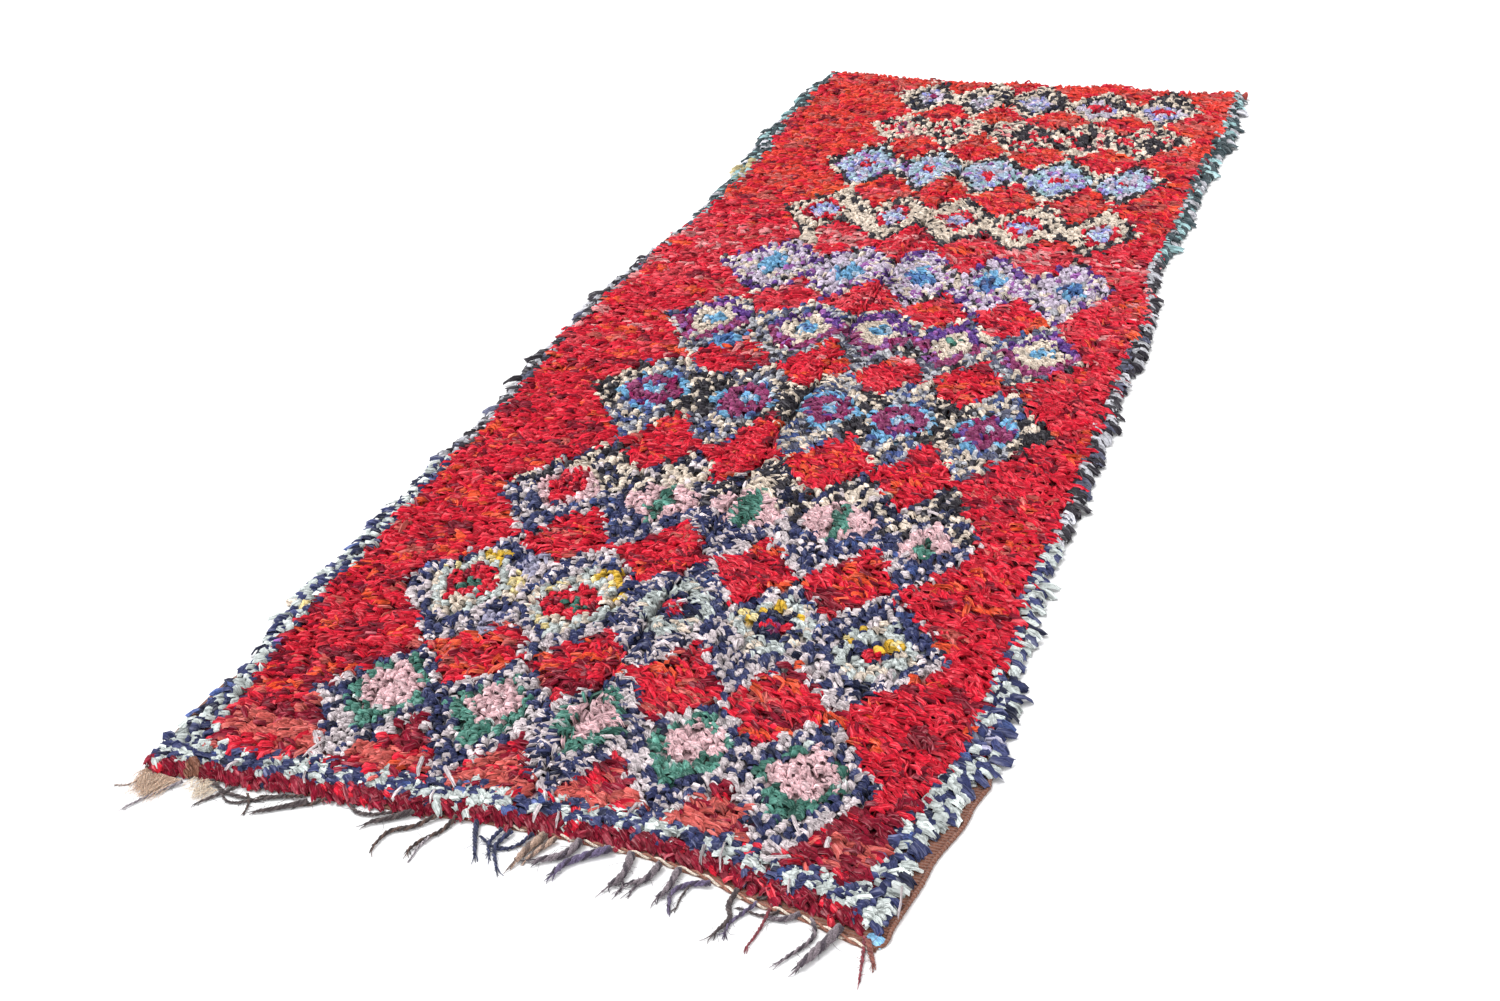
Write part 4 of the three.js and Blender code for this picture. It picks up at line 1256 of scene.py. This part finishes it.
def rag_material():
    material, nodes, links, shader = new_material("rag_jersey")
    place = nodes.new("ShaderNodeTexCoord").outputs["Object"]
    rag = nodes.new("ShaderNodeAttribute")
    rag.attribute_name = "rag"
    cell = nodes.new("ShaderNodeUVMap")
    cell.uv_map = "OFBake"
    wide, long, depth = STREAKS
    streaks = noise_on_cell(nodes, links, cell.outputs["UV"], wide, long)
    tint = value_cloud(nodes, links, place, 160, 0.78, 1.2)
    colour = multiply(nodes, links, rag.outputs["Color"], tint)
    # Painted shade where the streaks are low and painted light where they are high.
    colour = multiply(nodes, links, colour, ranged(nodes, links, streaks, **CREVICE_SHADE))
    # Painted highlight where the streaks stand high, partly standing for pale frayed fibres.
    pale = nodes.new("ShaderNodeVectorMath")
    pale.operation = "MULTIPLY_ADD"
    pale.inputs[1].default_value = (RIDGE_HIGHLIGHT_AND_FRAY_GAIN,) * 3
    pale.inputs[2].default_value = (RIDGE_HIGHLIGHT_AND_FRAY_TONE,) * 3
    links.new(colour, pale.inputs[0])
    highlight_and_fray_colour = nodes.new("ShaderNodeMix")
    highlight_and_fray_colour.data_type = "VECTOR"
    links.new(ranged(nodes, links, streaks, **RIDGE_HIGHLIGHT_AND_FRAY), highlight_and_fray_colour.inputs[0])
    links.new(colour, highlight_and_fray_colour.inputs[4])
    links.new(pale.outputs["Vector"], highlight_and_fray_colour.inputs[5])
    links.new(highlight_and_fray_colour.outputs[1], shader.inputs["Base Color"])
    normal = raised(nodes, links, streaks, depth, None)
    for wide, long, depth in CRUMPLES:
        crumple = noise_on_cell(nodes, links, cell.outputs["UV"], wide, long)
        normal = raised(nodes, links, crumple, depth, normal)
    links.new(normal, shader.inputs["Normal"])
    shader.inputs["Roughness"].default_value = 0.75
    shader.inputs["Specular IOR Level"].default_value = 0.1
    return material


rag_jersey = rag_material()
print("made", rag_jersey.name)

# %% [markdown]
# The rug is one pile, but a piece may hold only so many faces. The locks are sorted
# from the near end to the far end and cut into six lengths of equal count, as a
# weaver would stop and move the beam.

# %% Build the pile in six lengths
PILE_PIECES = 6


def gather(groups):
    return {key: np.concatenate([group[key] for group in groups]) for key in LOCK_KEYS}


locks = gather([*field, *ends, *borders, *far, *tails])
order = np.argsort(locks["along"], kind="stable")
pile = []
for number, part in enumerate(np.array_split(order, PILE_PIECES), start=1):
    piece = lock_mesh(f"pile_length_{number}", {key: value[part] for key, value in locks.items()})
    piece.data.materials.append(rag_jersey)
    pile.append(piece)
print(len(order), "locks,", sum(len(p.data.polygons) for p in pile), "triangles")

# %% [markdown]
# Under the pile lies the woven ground, brown wool that shows only at the corners
# and along the near right edge. It is one thin sheet, closed all round, cut to the
# wandering outline. Its weft ribs run across the rug and are bump.

# %% Weave the ground
GROUND_THICKNESS = 3.2
GROUND_STEP = 26
GROUND_LIP = 3
LOCK_REACH = 24


def ground_edge(side, along):
    """The edge of the ground: under the locks, or out in the open where it is bare."""
    inward = {"left": 1, "right": -1}[side]
    bare = read(BARE, "along", along, side)
    open_share = np.minimum(1, bare / 8)
    hidden = side_reach(side, along) + inward * (LOCK_REACH - GROUND_LIP)
    return hidden + (read(SIDES, "along", along, side) - hidden) * open_share


def sheet_between(name, columns, rows, thickness, lie):
    """A closed sheet whose points `lie(u, v)` gives, from 0 to 1 both ways."""
    u, v = np.meshgrid(np.linspace(0, 1, columns), np.linspace(0, 1, rows))
    x, y, z = lie(u, v)
    top = np.stack([x, y, z + thickness], axis=-1).reshape(-1, 3)
    foot = np.stack([x, y, z], axis=-1).reshape(-1, 3)
    at = np.arange(rows * columns).reshape(rows, columns)
    a, b, c, d = at[:-1, :-1], at[:-1, 1:], at[1:, 1:], at[1:, :-1]
    lid = np.concatenate([np.stack(t, axis=-1).reshape(-1, 3) for t in ((a, b, c), (a, c, d))])
    rim = np.concatenate([at[0, :-1], at[:-1, -1], at[-1, :0:-1], at[:0:-1, 0]])
    nxt = np.roll(rim, -1)
    low = rows * columns
    wall = np.concatenate([
        np.stack([rim + low, nxt + low, nxt], axis=-1), np.stack([rim + low, nxt, rim], axis=-1),
    ])
    faces = np.concatenate([lid, lid[:, ::-1] + low, wall])
    piece = bare_mesh(name, in_metres(np.concatenate([top, foot])), faces)
    layer = piece.data.uv_layers.new(name="OFBake")
    sheet = np.stack([u, v], axis=-1).reshape(-1, 2) * 0.48 + 0.01
    both = np.concatenate([sheet, sheet + (0.5, 0)])
    layer.data.foreach_set("uv", both[faces.ravel()].astype(np.float32).ravel())
    return piece


def ground_lie(u, v):
    level = v * LAST_LEVEL
    left, right = ground_edge("left", level), ground_edge("right", level)
    across = left + (right - left) * u
    along = near_edge(across) + v * (far_edge(across) - near_edge(across))
    return across, along, np.full(u.shape, 0.2)


ground = sheet_between(
    "ground", round(1180 / GROUND_STEP), round(3060 / GROUND_STEP), GROUND_THICKNESS, ground_lie
)
print("ground has", len(ground.data.polygons), "faces")

# %% [markdown]
# Between the strips one looks down on the knots themselves. They are a bed of the
# same colours as the pile over them, darkened with painted shade, with a small bump for each knot.

# %% Pack the bed of knots
BED_STEP = 20
BED_FOOT = 3.4
BED_TOP = 10
BED_BUMP = 1.3
BED_INSET = 30
BED_FOLLOWS = 0.7
BED_SHADE = 0.36


def bed_lie(u, v):
    level = v * LAST_LEVEL
    left = side_reach("left", level) + BED_INSET
    right = side_reach("right", level) - BED_INSET
    across = left + (right - left) * u
    near, end = near_edge(across) + 6, far_edge(across) - 6
    return across, near + v * (end - near), np.full(u.shape, BED_FOOT)


knot_bed = sheet_between(
    "knot_bed", round(1120 / BED_STEP), round(3050 / BED_STEP), BED_TOP - BED_FOOT, bed_lie
)
bed_points = np.array([v.co for v in knot_bed.data.vertices])
half_count = len(bed_points) // 2
bed_across, bed_along = (bed_points[:half_count, :2] * 1000 + CENTRE).T
bed_rise = (pile_height(bed_across, bed_along) - PILE_HEIGHT) * BED_FOLLOWS
bed_points[:half_count, 2] += (bed_rise + rng.normal(0, BED_BUMP, half_count)) / 1000
knot_bed.data.vertices.foreach_set("co", bed_points.astype(np.float32).ravel())
bed_colours, _ = pattern(bed_across, bed_along)
# The bed's colours are the pattern's, darkened by BED_SHADE: painted shade.
bed_shades = palette_light()[bed_colours] * BED_SHADE
paint(knot_bed, "rag", np.tile(np.column_stack([bed_shades, np.ones(half_count)]), (2, 1)))
knot_bed.data.materials.append(rag_jersey)
print("bed has", len(knot_bed.data.polygons), "faces")

# %% [markdown]
# The ground's wool is a brown weft packed over the warp. Ribs lie across the rug
# about every six millimetres, broken up by the wool's own unevenness.

# %% Mix the ground's wool
def ground_material():
    material, nodes, links, shader = new_material("brown_weft")
    place = nodes.new("ShaderNodeTexCoord").outputs["Object"]
    ribs = nodes.new("ShaderNodeTexWave")
    ribs.bands_direction = "Y"
    ribs.inputs["Scale"].default_value = 55
    ribs.inputs["Distortion"].default_value = 1.6
    ribs.inputs["Detail"].default_value = 2
    ribs.inputs["Detail Scale"].default_value = 6
    links.new(place, ribs.inputs["Vector"])
    wool = nodes.new("ShaderNodeValToRGB")
    wool.color_ramp.elements[0].color = (*linear((112, 68, 54)), 1)
    wool.color_ramp.elements[1].color = (*linear((158, 110, 92)), 1)
    fibres = value_cloud(nodes, links, place, 420, 0, 1, detail=4)
    links.new(fibres, wool.inputs["Fac"])
    links.new(wool.outputs["Color"], shader.inputs["Base Color"])
    bump = nodes.new("ShaderNodeBump")
    bump.inputs["Strength"].default_value = 0.8
    bump.inputs["Distance"].default_value = 0.0026
    links.new(ribs.outputs["Fac"], bump.inputs["Height"])
    links.new(bump.outputs["Normal"], shader.inputs["Normal"])
    shader.inputs["Roughness"].default_value = 0.95
    shader.inputs["Specular IOR Level"].default_value = 0.15
    shader.inputs["Sheen Weight"].default_value = 0.2
    return material


brown_weft = ground_material()
ground.data.materials.append(brown_weft)
print("made", brown_weft.name)

# %% [markdown]
# Both ends of the ground finish in a narrow flat-woven strip that holds the warp
# ends. At the near end its edge is twined with one brown and one cream strand, so
# slanting cream dashes show along it.

# %% Weave the end strips
STRIP_THICKNESS = 2.8
NEAR_STRIP = {"across": (-20, 250, 520, 800, 1000, 1174), "depth": (2, 3, 6, 14, 22, 26)}
FAR_DEPTH = 7
END_LIP = 2


def near_strip_edge(across):
    return near_edge(across) - END_LIP - read(NEAR_STRIP, "across", across, "depth")


def far_strip_edge(across):
    return far_edge(across) + END_LIP + FAR_DEPTH


def near_lie(u, v):
    across = -18 + u * (1186 - 14)
    low, high = near_strip_edge(across), near_edge(across) + 2
    return across, low + (high - low) * v, np.full(u.shape, 0.0)


def far_lie(u, v):
    across = 8 + u * 1120
    low, high = far_edge(across) - 2, far_strip_edge(across)
    return across, low + (high - low) * v, np.full(u.shape, 0.0)


near_strip = sheet_between("near_strip", 140, 5, STRIP_THICKNESS, near_lie)
far_strip = sheet_between("far_strip", 100, 3, STRIP_THICKNESS, far_lie)
for strip in (near_strip, far_strip):
    strip.data.materials.append(brown_weft)
print("strips made")

# %% [markdown]
# Yarn is two or three plies twisted round each other, and a strand of the fringe
# is such a yarn on the floor. Each ply is a thin tube along a helix round the
# strand's path. Tubes are collected as arrays, so one mesh holds the whole fringe.

# %% Twist yarn from plies
TUBE_SIDES = 6
PLY_SHARE = 0.6


class Yarn:
    """Collects tubes with their colours until they are made into one piece."""

    def __init__(self):
        self.points, self.faces, self.colours = [], [], []
        self.count = 0

    def tube(self, path, radii, colour, sides=TUBE_SIDES):
        """One tube along a path, closed at both ends."""
        path = np.asarray(path, float)
        steps = len(path)
        going = np.gradient(path, axis=0)
        going /= np.linalg.norm(going, axis=1, keepdims=True) + 1e-9
        across = np.cross(going, (0, 0, 1))
        across /= np.linalg.norm(across, axis=1, keepdims=True) + 1e-9
        up = np.cross(across, going)
        angle = 2 * np.pi * np.arange(sides) / sides
        ring = across[:, None] * np.cos(angle)[None, :, None] + up[:, None] * np.sin(angle)[None, :, None]
        points = (path[:, None] + ring * np.asarray(radii)[:, None, None]).reshape(-1, 3)
        points[:, 2] = np.maximum(points[:, 2], 0.2)
        at = np.arange(steps * sides).reshape(steps, sides)
        a, b = at[:-1], np.roll(at, -1, axis=1)[:-1]
        c, d = np.roll(at, -1, axis=1)[1:], at[1:]
        faces = [np.stack(t, axis=-1).reshape(-1, 3) for t in ((a, b, c), (a, c, d))]
        last = (steps - 1) * sides
        caps = [(0, k + 1, k) for k in range(1, sides - 1)]
        caps += [(last, last + k, last + k + 1) for k in range(1, sides - 1)]
        faces = np.concatenate([*faces, np.array(caps)])[:, ::-1]
        self.points.append(points)
        self.faces.append(faces + self.count)
        self.colours.append(np.tile((*colour, 1), (len(points), 1)))
        self.count += len(points)

    def twisted(self, path, thick, colours, pitch, fade=0.6):
        """A yarn of one ply for each colour, thinner toward its end."""
        path = smooth(path, 34)
        run = np.concatenate([[0], np.cumsum(np.linalg.norm(np.diff(path, axis=0), axis=1))])
        share = run / run[-1]
        swell = 1 - (1 - fade) * share ** 2
        going = np.gradient(path, axis=0)
        going /= np.linalg.norm(going, axis=1, keepdims=True) + 1e-9
        across = np.cross(going, (0, 0, 1))
        across /= np.linalg.norm(across, axis=1, keepdims=True) + 1e-9
        up = np.cross(across, going)
        plies = len(colours)
        size = thick / 2 * (PLY_SHARE if plies > 1 else 1.0)
        for number, colour in enumerate(colours):
            angle = 2 * np.pi * (run / pitch + number / plies)
            off = (thick / 2 - size) * swell * 1.25
            ply = path + across * (off * np.cos(angle))[:, None] + up * (off * np.sin(angle))[:, None]
            ply += rng.normal(0, 0.035 * thick, ply.shape)
            self.tube(ply, size * swell * rng.uniform(0.85, 1.15, len(ply)), colour)

    def piece(self, name, material):
        made = bare_mesh(name, in_metres(np.concatenate(self.points)), np.concatenate(self.faces))
        paint(made, "rag", np.concatenate(self.colours))
        made.data.polygons.foreach_set("use_smooth", np.ones(len(made.data.polygons), bool))
        made.data.materials.append(material)
        return made


def smooth(points, steps):
    """A smooth path through a few points."""
    points = np.asarray(points, float)
    knots = np.concatenate([[2 * points[0] - points[1]], points, [2 * points[-1] - points[-2]]])
    share = np.linspace(0, len(points) - 1.0001, steps)
    k = share.astype(int)
    t = (share - k)[:, None]
    p0, p1, p2, p3 = knots[k], knots[k + 1], knots[k + 2], knots[k + 3]
    return 0.5 * (
        2 * p1 + (p2 - p0) * t + (2 * p0 - 5 * p1 + 4 * p2 - p3) * t ** 2
        + (3 * p1 - p0 - 3 * p2 + p3) * t ** 3
    )


print("yarn tubes have", TUBE_SIDES, "sides")

# %% [markdown]
# The bare edge at the near right is a selvedge: the weft turns back round the last
# warps there, so it is thick and lumpy. It is made as two fat plies rolled along the
# ground's edge, and it carries on round the corner to close the end strip.

# %% Roll the selvedge
SELVEDGE_CORNER = ((1140, -3, 2.2), (1152, 1, 2.4), (1160, 9, 2.6), (1163, 18, 2.8))
SELVEDGE = {"to": 560, "step": 2.6, "inward": 1.5, "high": 3.2, "size": 2.5, "off": 1.4, "pitch": 9}


def roll_selvedge():
    v = np.arange(10, SELVEDGE["to"], SELVEDGE["step"]) / LAST_LEVEL
    across, along, _ = ground_lie(np.ones(len(v)), v)
    edge = np.stack([across - SELVEDGE["inward"], along, np.full(len(v), SELVEDGE["high"])], axis=-1)
    corner = smooth(np.concatenate([SELVEDGE_CORNER, edge[:1]]), 12)[:-1]
    path = np.concatenate([corner, edge])
    run = np.concatenate([[0], np.cumsum(np.linalg.norm(np.diff(path, axis=0), axis=1))])
    cord = Yarn()
    for turn in (0, 0.5):
        angle = 2 * np.pi * (run / SELVEDGE["pitch"] + turn)
        off = SELVEDGE["off"] * np.stack([np.cos(angle), 0 * angle, np.sin(angle)], axis=-1)
        size = SELVEDGE["size"] * rng.uniform(0.78, 1.22, len(run))
        cord.tube(path + off, size, linear((142, 94, 76)))
    return cord.piece("selvedge", brown_weft)


selvedge = roll_selvedge()
print("selvedge has", len(selvedge.data.polygons), "faces")

# %% [markdown]
# The warp ends of the near fringe are charted one by one from root to tip, since
# each has its own length, lean and colour: charcoal on the left, navy in the
# middle, grey tweed and purple to the right, and maroon at the corner. `thick` is
# in millimetres, and a frayed end splits into thin fibres.

# %% Chart the near fringe
WOOLS = {
    "charcoal": ((58, 50, 52), (84, 74, 74)), "brown": ((84, 66, 60), (52, 44, 44)),
    "navy": ((34, 38, 62), (50, 54, 84)), "tweed": ((108, 98, 104), (66, 58, 66)),
    "violet": ((88, 78, 104), (58, 50, 66)), "maroon": ((120, 52, 60), (96, 44, 52)),
    "grey": ((150, 142, 146), (100, 94, 100)), "dust": ((150, 126, 112), (98, 82, 76)),
    "rust": ((124, 74, 66), (104, 56, 54)), "beige": ((214, 192, 172), (184, 156, 136)),
    "cream": ((226, 214, 198), (210, 194, 176)),
}
STRANDS = (
    ("grey", 4.5, (62, -12), (36, -42), (9, -84)),
    ("dust", 2.2, (-8, -30), (-22, -40), (-36, -44)),
    ("charcoal", 6, (104, 4), (140, -12), (190, -14)),
    ("charcoal", 5, (150, -2), (128, -24), (114, -41)),
    ("charcoal", 4, (132, -14), (158, -28), (188, -16)),
    ("brown", 4, (176, -6), (188, -22), (194, -40)),
    ("charcoal", 7, (276, 4), (246, -14), (212, -35)),
    ("charcoal", 5, (236, 6), (204, -8), (176, -22)),
    ("brown", 5, (262, 12), (226, 4), (196, -4)),
    ("charcoal", 6, (330, 34), (352, 10), (384, 10), (428, 34)),
    ("brown", 5, (300, 18), (282, 4), (262, -6)),
    ("charcoal", 8, (442, 30), (414, 10), (389, -6)),
    ("brown", 6.5, (482, 38), (456, 5), (426, -15), (420, -47)),
    ("charcoal", 4, (454, 4), (432, -6), (422, -28)),
    ("brown", 6.5, (508, 40), (500, 10), (480, -20), (473, -42)),
    ("grey", 3.6, (490, -8), (484, -28), (485, -51)),
    ("navy", 7, (538, 46), (551, 16), (571, -21)),
    ("navy", 5.5, (584, 36), (578, 8), (589, -14)),
    ("navy", 6.5, (600, 36), (591, 2), (612, -34)),
    ("navy", 5.5, (632, 40), (618, 12), (592, -4)),
    ("navy", 4, (560, 14), (584, 4), (604, 6)),
    ("dust", 11, (652, 40), (640, 14), (634, -15)),
    ("dust", 7, (668, 40), (654, 14), (646, -8)),
    ("tweed", 10, (706, 44), (694, 16), (662, -7)),
    ("violet", 10, (754, 42), (720, 18), (702, -2), (695, -24)),
    ("tweed", 10, (786, 42), (790, 4), (781, -21)),
    ("tweed", 4, (790, 0), (797, -14), (795, -28)),
    ("tweed", 9, (832, 36), (823, 4), (806, -8)),
    ("tweed", 4.5, (818, 0), (814, -12), (812, -22)),
    ("tweed", 9, (861, 34), (859, -4), (853, -22)),
    ("violet", 7, (912, 22), (884, 14), (868, -6), (874, -33)),
    ("charcoal", 3.4, (886, 12), (882, -10), (884, -31)),
    ("charcoal", 7, (952, 22), (950, -6), (960, -28), (951, -61)),
    ("violet", 5.5, (986, 8), (970, -20), (963, -36), (964, -56)),
    ("charcoal", 5, (982, 16), (1004, 22), (1019, 6), (998, -10), (968, -6)),
    ("tweed", 7, (1048, 4), (1030, -8), (1010, -12)),
    ("maroon", 4.5, (1006, 10), (1005, -34), (1000, -68)),
    ("tweed", 6, (1066, 2), (1077, -28), (1052, -77)),
    ("tweed", 12, (1108, -4), (1096, -37), (1078, -80)),
    ("maroon", 5, (1142, -8), (1148, -34), (1157, -73)),
    ("rust", 7, (1148, -12), (1158, -32), (1168, -49)),
)
print(len(STRANDS), "strands charted")

# %% [markdown]
# A strand leaves the strip a little above the floor, drops to it and lies there.
# Its tip is frayed into a few fine fibres.

# %% Lay the near fringe
TWIST = 2.7
FRINGE_SHIFT = (-8, 20)
PLUMP = 1.15
near_yarn = Yarn()


def wool(kind, ply):
    shade = linear(WOOLS[kind][ply % 2])
    return shade * rng.uniform(0.85, 1.15)


def lay(points, thick):
    """The charted places of a strand with its heights: down from the strip to the floor."""
    heights = [3 + thick / 2] + [thick / 2 + 0.3] * (len(points) - 1)
    return [(x + FRINGE_SHIFT[0], y + FRINGE_SHIFT[1], z) for (x, y), z in zip(points, heights)]


FIBRES = {
    "count": 4, "apart": 0.45, "reach": (0.5, 1.3), "longer": 3, "rests": 0.8, "bend": 1, "inside": 0.6,
}
HAIRS = {
    "count": 14, "span": (2, 29), "root": 0.2, "reach": 0.75, "longer": 1.5, "flat": 0.4, "half": 0.3,
}


def fray(yarn, path, kind, thick):
    """Fine fibres that go on from the tip of a strand."""
    end = np.asarray(path[-1])
    going = end - np.asarray(path[-2])
    going = going / (np.linalg.norm(going) + 1e-9)
    for k in range(FIBRES["count"]):
        side = rng.normal(0, FIBRES["apart"], 2)
        reach = rng.uniform(*FIBRES["reach"]) * thick + FIBRES["longer"]
        tip = end + np.array([going[0] + side[0], going[1] + side[1], 0]) * reach
        tip[2] = FIBRES["rests"]
        middle = (end + tip) / 2 + (*rng.normal(0, FIBRES["bend"], 2), 0)
        start = end - going * thick * FIBRES["inside"]
        halves = np.linspace(thick * 0.14 + 0.3, 0.35, 7)
        yarn.tube(smooth([start, middle, tip], 7), halves, wool(kind, k), 4)


def fuzz(yarn, path, kind, thick):
    """Loose hairs along a strand."""
    line = smooth(path, 30)
    for k in rng.integers(*HAIRS["span"], HAIRS["count"]):
        root = line[k] + rng.normal(0, thick * HAIRS["root"], 3)
        away = rng.normal(0, thick * HAIRS["reach"] + HAIRS["longer"], 3)
        tip = root + away * (1, 1, HAIRS["flat"])
        middle = (root + tip) / 2 + rng.normal(0, 1, 3)
        yarn.tube(smooth([root, middle, tip], 4), np.full(4, HAIRS["half"]), wool(kind, k), 3)


for kind, thin, *points in STRANDS:
    thick = thin * PLUMP
    path = lay(points, thick)
    plies = 3 if thick > 8 else 2
    near_yarn.twisted(path, thick, [wool(kind, k) for k in range(plies)], thick * TWIST)
    fray(near_yarn, path, kind, thick)
    fuzz(near_yarn, path, kind, thick)
print(len(near_yarn.points), "tubes in the near fringe")

# %% [markdown]
# The near left corner ends in a brush of unspun beige wool, with a fluffy tuft
# beside it. Both are many fine single fibres between a root line and a tip.

# %% Comb out the unspun wool
BRUSHES = (
    {"count": 190, "root": ((-14, -4), (60, -8)), "tip": (16, -56), "spread": (15, 9), "kind": "beige"},
    {"count": 46, "root": ((70, 10), (116, 4)), "tip": (88, -22), "spread": (16, 8), "kind": "cream"},
    {"count": 34, "root": ((88, -4), (128, -12)), "tip": (100, -36), "spread": (14, 5), "kind": "cream"},
    {"count": 24, "root": ((-14, 0), (0, -4)), "tip": (-12, -34), "spread": (5, 6), "kind": "beige"},
)


def brush(yarn, row):
    first, last = (np.array(p, float) + FRINGE_SHIFT for p in row["root"])
    for k in range(row["count"]):
        share = rng.random()
        root = first + (last - first) * share
        tip = np.array(row["tip"]) + FRINGE_SHIFT + rng.normal(0, 1, 2) * row["spread"]
        tip = tip * 0.72 + (root + (0, -rng.uniform(10, 44))) * 0.28
        bow = (root + tip) / 2 + rng.normal(0, 3.4, 2)
        low, high = rng.uniform(0.6, 5), rng.uniform(3, 9)
        path = [(*root, 4.5), (*bow, high), (*tip, low)]
        yarn.tube(smooth(path, 9), np.linspace(0.62, 0.3, 9), wool(row["kind"], k), 3)


for row in BRUSHES:
    brush(near_yarn, row)
print(len(near_yarn.points), "tubes with the unspun wool")

# %% [markdown]
# The twined edge is two strands that turn round each other along the strip.

# %% Twine the near edge
TWINE_PITCH = 39
twine_across = np.arange(560, 1150, 6.0)
twine_path = np.stack([
    twine_across, near_strip_edge(twine_across) + 2.5, np.full(len(twine_across), 4.0),
], axis=-1)
run = np.concatenate([[0], np.cumsum(np.linalg.norm(np.diff(twine_path, axis=0), axis=1))])
for number, shade in enumerate((linear((134, 90, 76)), linear((196, 182, 168)))):
    angle = 2 * np.pi * (run / TWINE_PITCH + number / 2)
    strand = twine_path + np.stack([np.zeros(len(run)), 2.2 * np.cos(angle), 2.4 * np.sin(angle)], axis=-1)
    near_yarn.tube(strand, np.full(len(run), 2.0), shade)
print("twined over", round(run[-1]), "mm")

# %% [markdown]
# The far end shows short dark tufts of cut warp between the last knots.

# %% Tie the far tufts
FAR_TUFTS = {
    "across": (24, 62, 78, 126, 186, 246, 312, 392, 442, 520, 552, 582, 630, 674, 732, 788,
               850, 912, 960, 1024, 1066, 1090, 1112),
    "reach": (22, 14, 10, 12, 10, 38, 9, 8, 20, 18, 22, 20, 16, 28, 10, 28,
              12, 16, 20, 40, 10, 20, 16),
    "lean": (-6, -8, -6, 3, -4, -5, 6, -4, 2, -3, 3, -4, 5, 4, -4, 2, -3, -5, 2, -3, 4, -3, 6),
}
far_yarn = Yarn()
for number, (across, reach, lean) in enumerate(zip(*FAR_TUFTS.values())):
    edge = float(far_strip_edge(across))
    for k in range(6):
        off = rng.normal(0, 3)
        tip = (across + lean + off * 0.8, edge + reach * rng.uniform(0.6, 1), rng.uniform(1.5, 9))
        middle = (across + off + lean / 2, edge + reach * 0.4, rng.uniform(4, 10))
        path = [(across + off, edge - 6, 3.5), middle, tip]
        kind = ("charcoal", "violet", "maroon")[number % 3 if k < 2 else 0]
        far_yarn.tube(smooth(path, 8), np.linspace(1.7, 0.5, 8), wool(kind, k), 5)
print(len(FAR_TUFTS["across"]), "tufts at the far end")

# %% [markdown]
# The yarn is handspun from mixed wool, so pale and dark flecks sit side by side in
# it. A fine cloud lifts the strand's own colour in places, and a finer one is bump.

# %% Mix the yarn's wool
def yarn_material():
    material, nodes, links, shader = new_material("tweed_wool")
    place = nodes.new("ShaderNodeTexCoord").outputs["Object"]
    rag = nodes.new("ShaderNodeAttribute")
    rag.attribute_name = "rag"
    flecks = value_cloud(nodes, links, place, 520, 0.55, 2.1, detail=3)
    colour = multiply(nodes, links, rag.outputs["Color"], flecks)
    links.new(colour, shader.inputs["Base Color"])
    hairs = nodes.new("ShaderNodeTexNoise")
    hairs.inputs["Scale"].default_value = 900
    links.new(place, hairs.inputs["Vector"])
    bump = nodes.new("ShaderNodeBump")
    bump.inputs["Strength"].default_value = 0.7
    bump.inputs["Distance"].default_value = 0.0008
    links.new(hairs.outputs["Fac"], bump.inputs["Height"])
    links.new(bump.outputs["Normal"], shader.inputs["Normal"])
    shader.inputs["Roughness"].default_value = 0.95
    shader.inputs["Specular IOR Level"].default_value = 0.15
    shader.inputs["Sheen Weight"].default_value = 0.3
    return material


tweed_wool = yarn_material()
near_fringe = near_yarn.piece("near_fringe", tweed_wool)
far_fringe = far_yarn.piece("far_fringe", tweed_wool)
print(len(near_fringe.data.polygons) + len(far_fringe.data.polygons), "triangles of yarn")

# %% [markdown]
# Each piece now rides on the rug's one body, and the imported part that it stands
# for is hidden. The ground's lowest and highest corners are then found from its
# points.

# %% Fit the pieces to the frame
FITTING = (
    {"pieces": [*pile, knot_bed, ground, selvedge], "node": "rug_body"},
    {"pieces": [near_strip, near_fringe], "node": "fringe_near"},
    {"pieces": [far_strip, far_fringe], "node": "fringe_far"},
)
for row in FITTING:
    for piece in row["pieces"]:
        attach(piece, "root")
        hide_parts(row["node"])

ground_low, ground_high = (Vector(map(f, *[v.co for v in ground.data.vertices])) for f in (min, max))
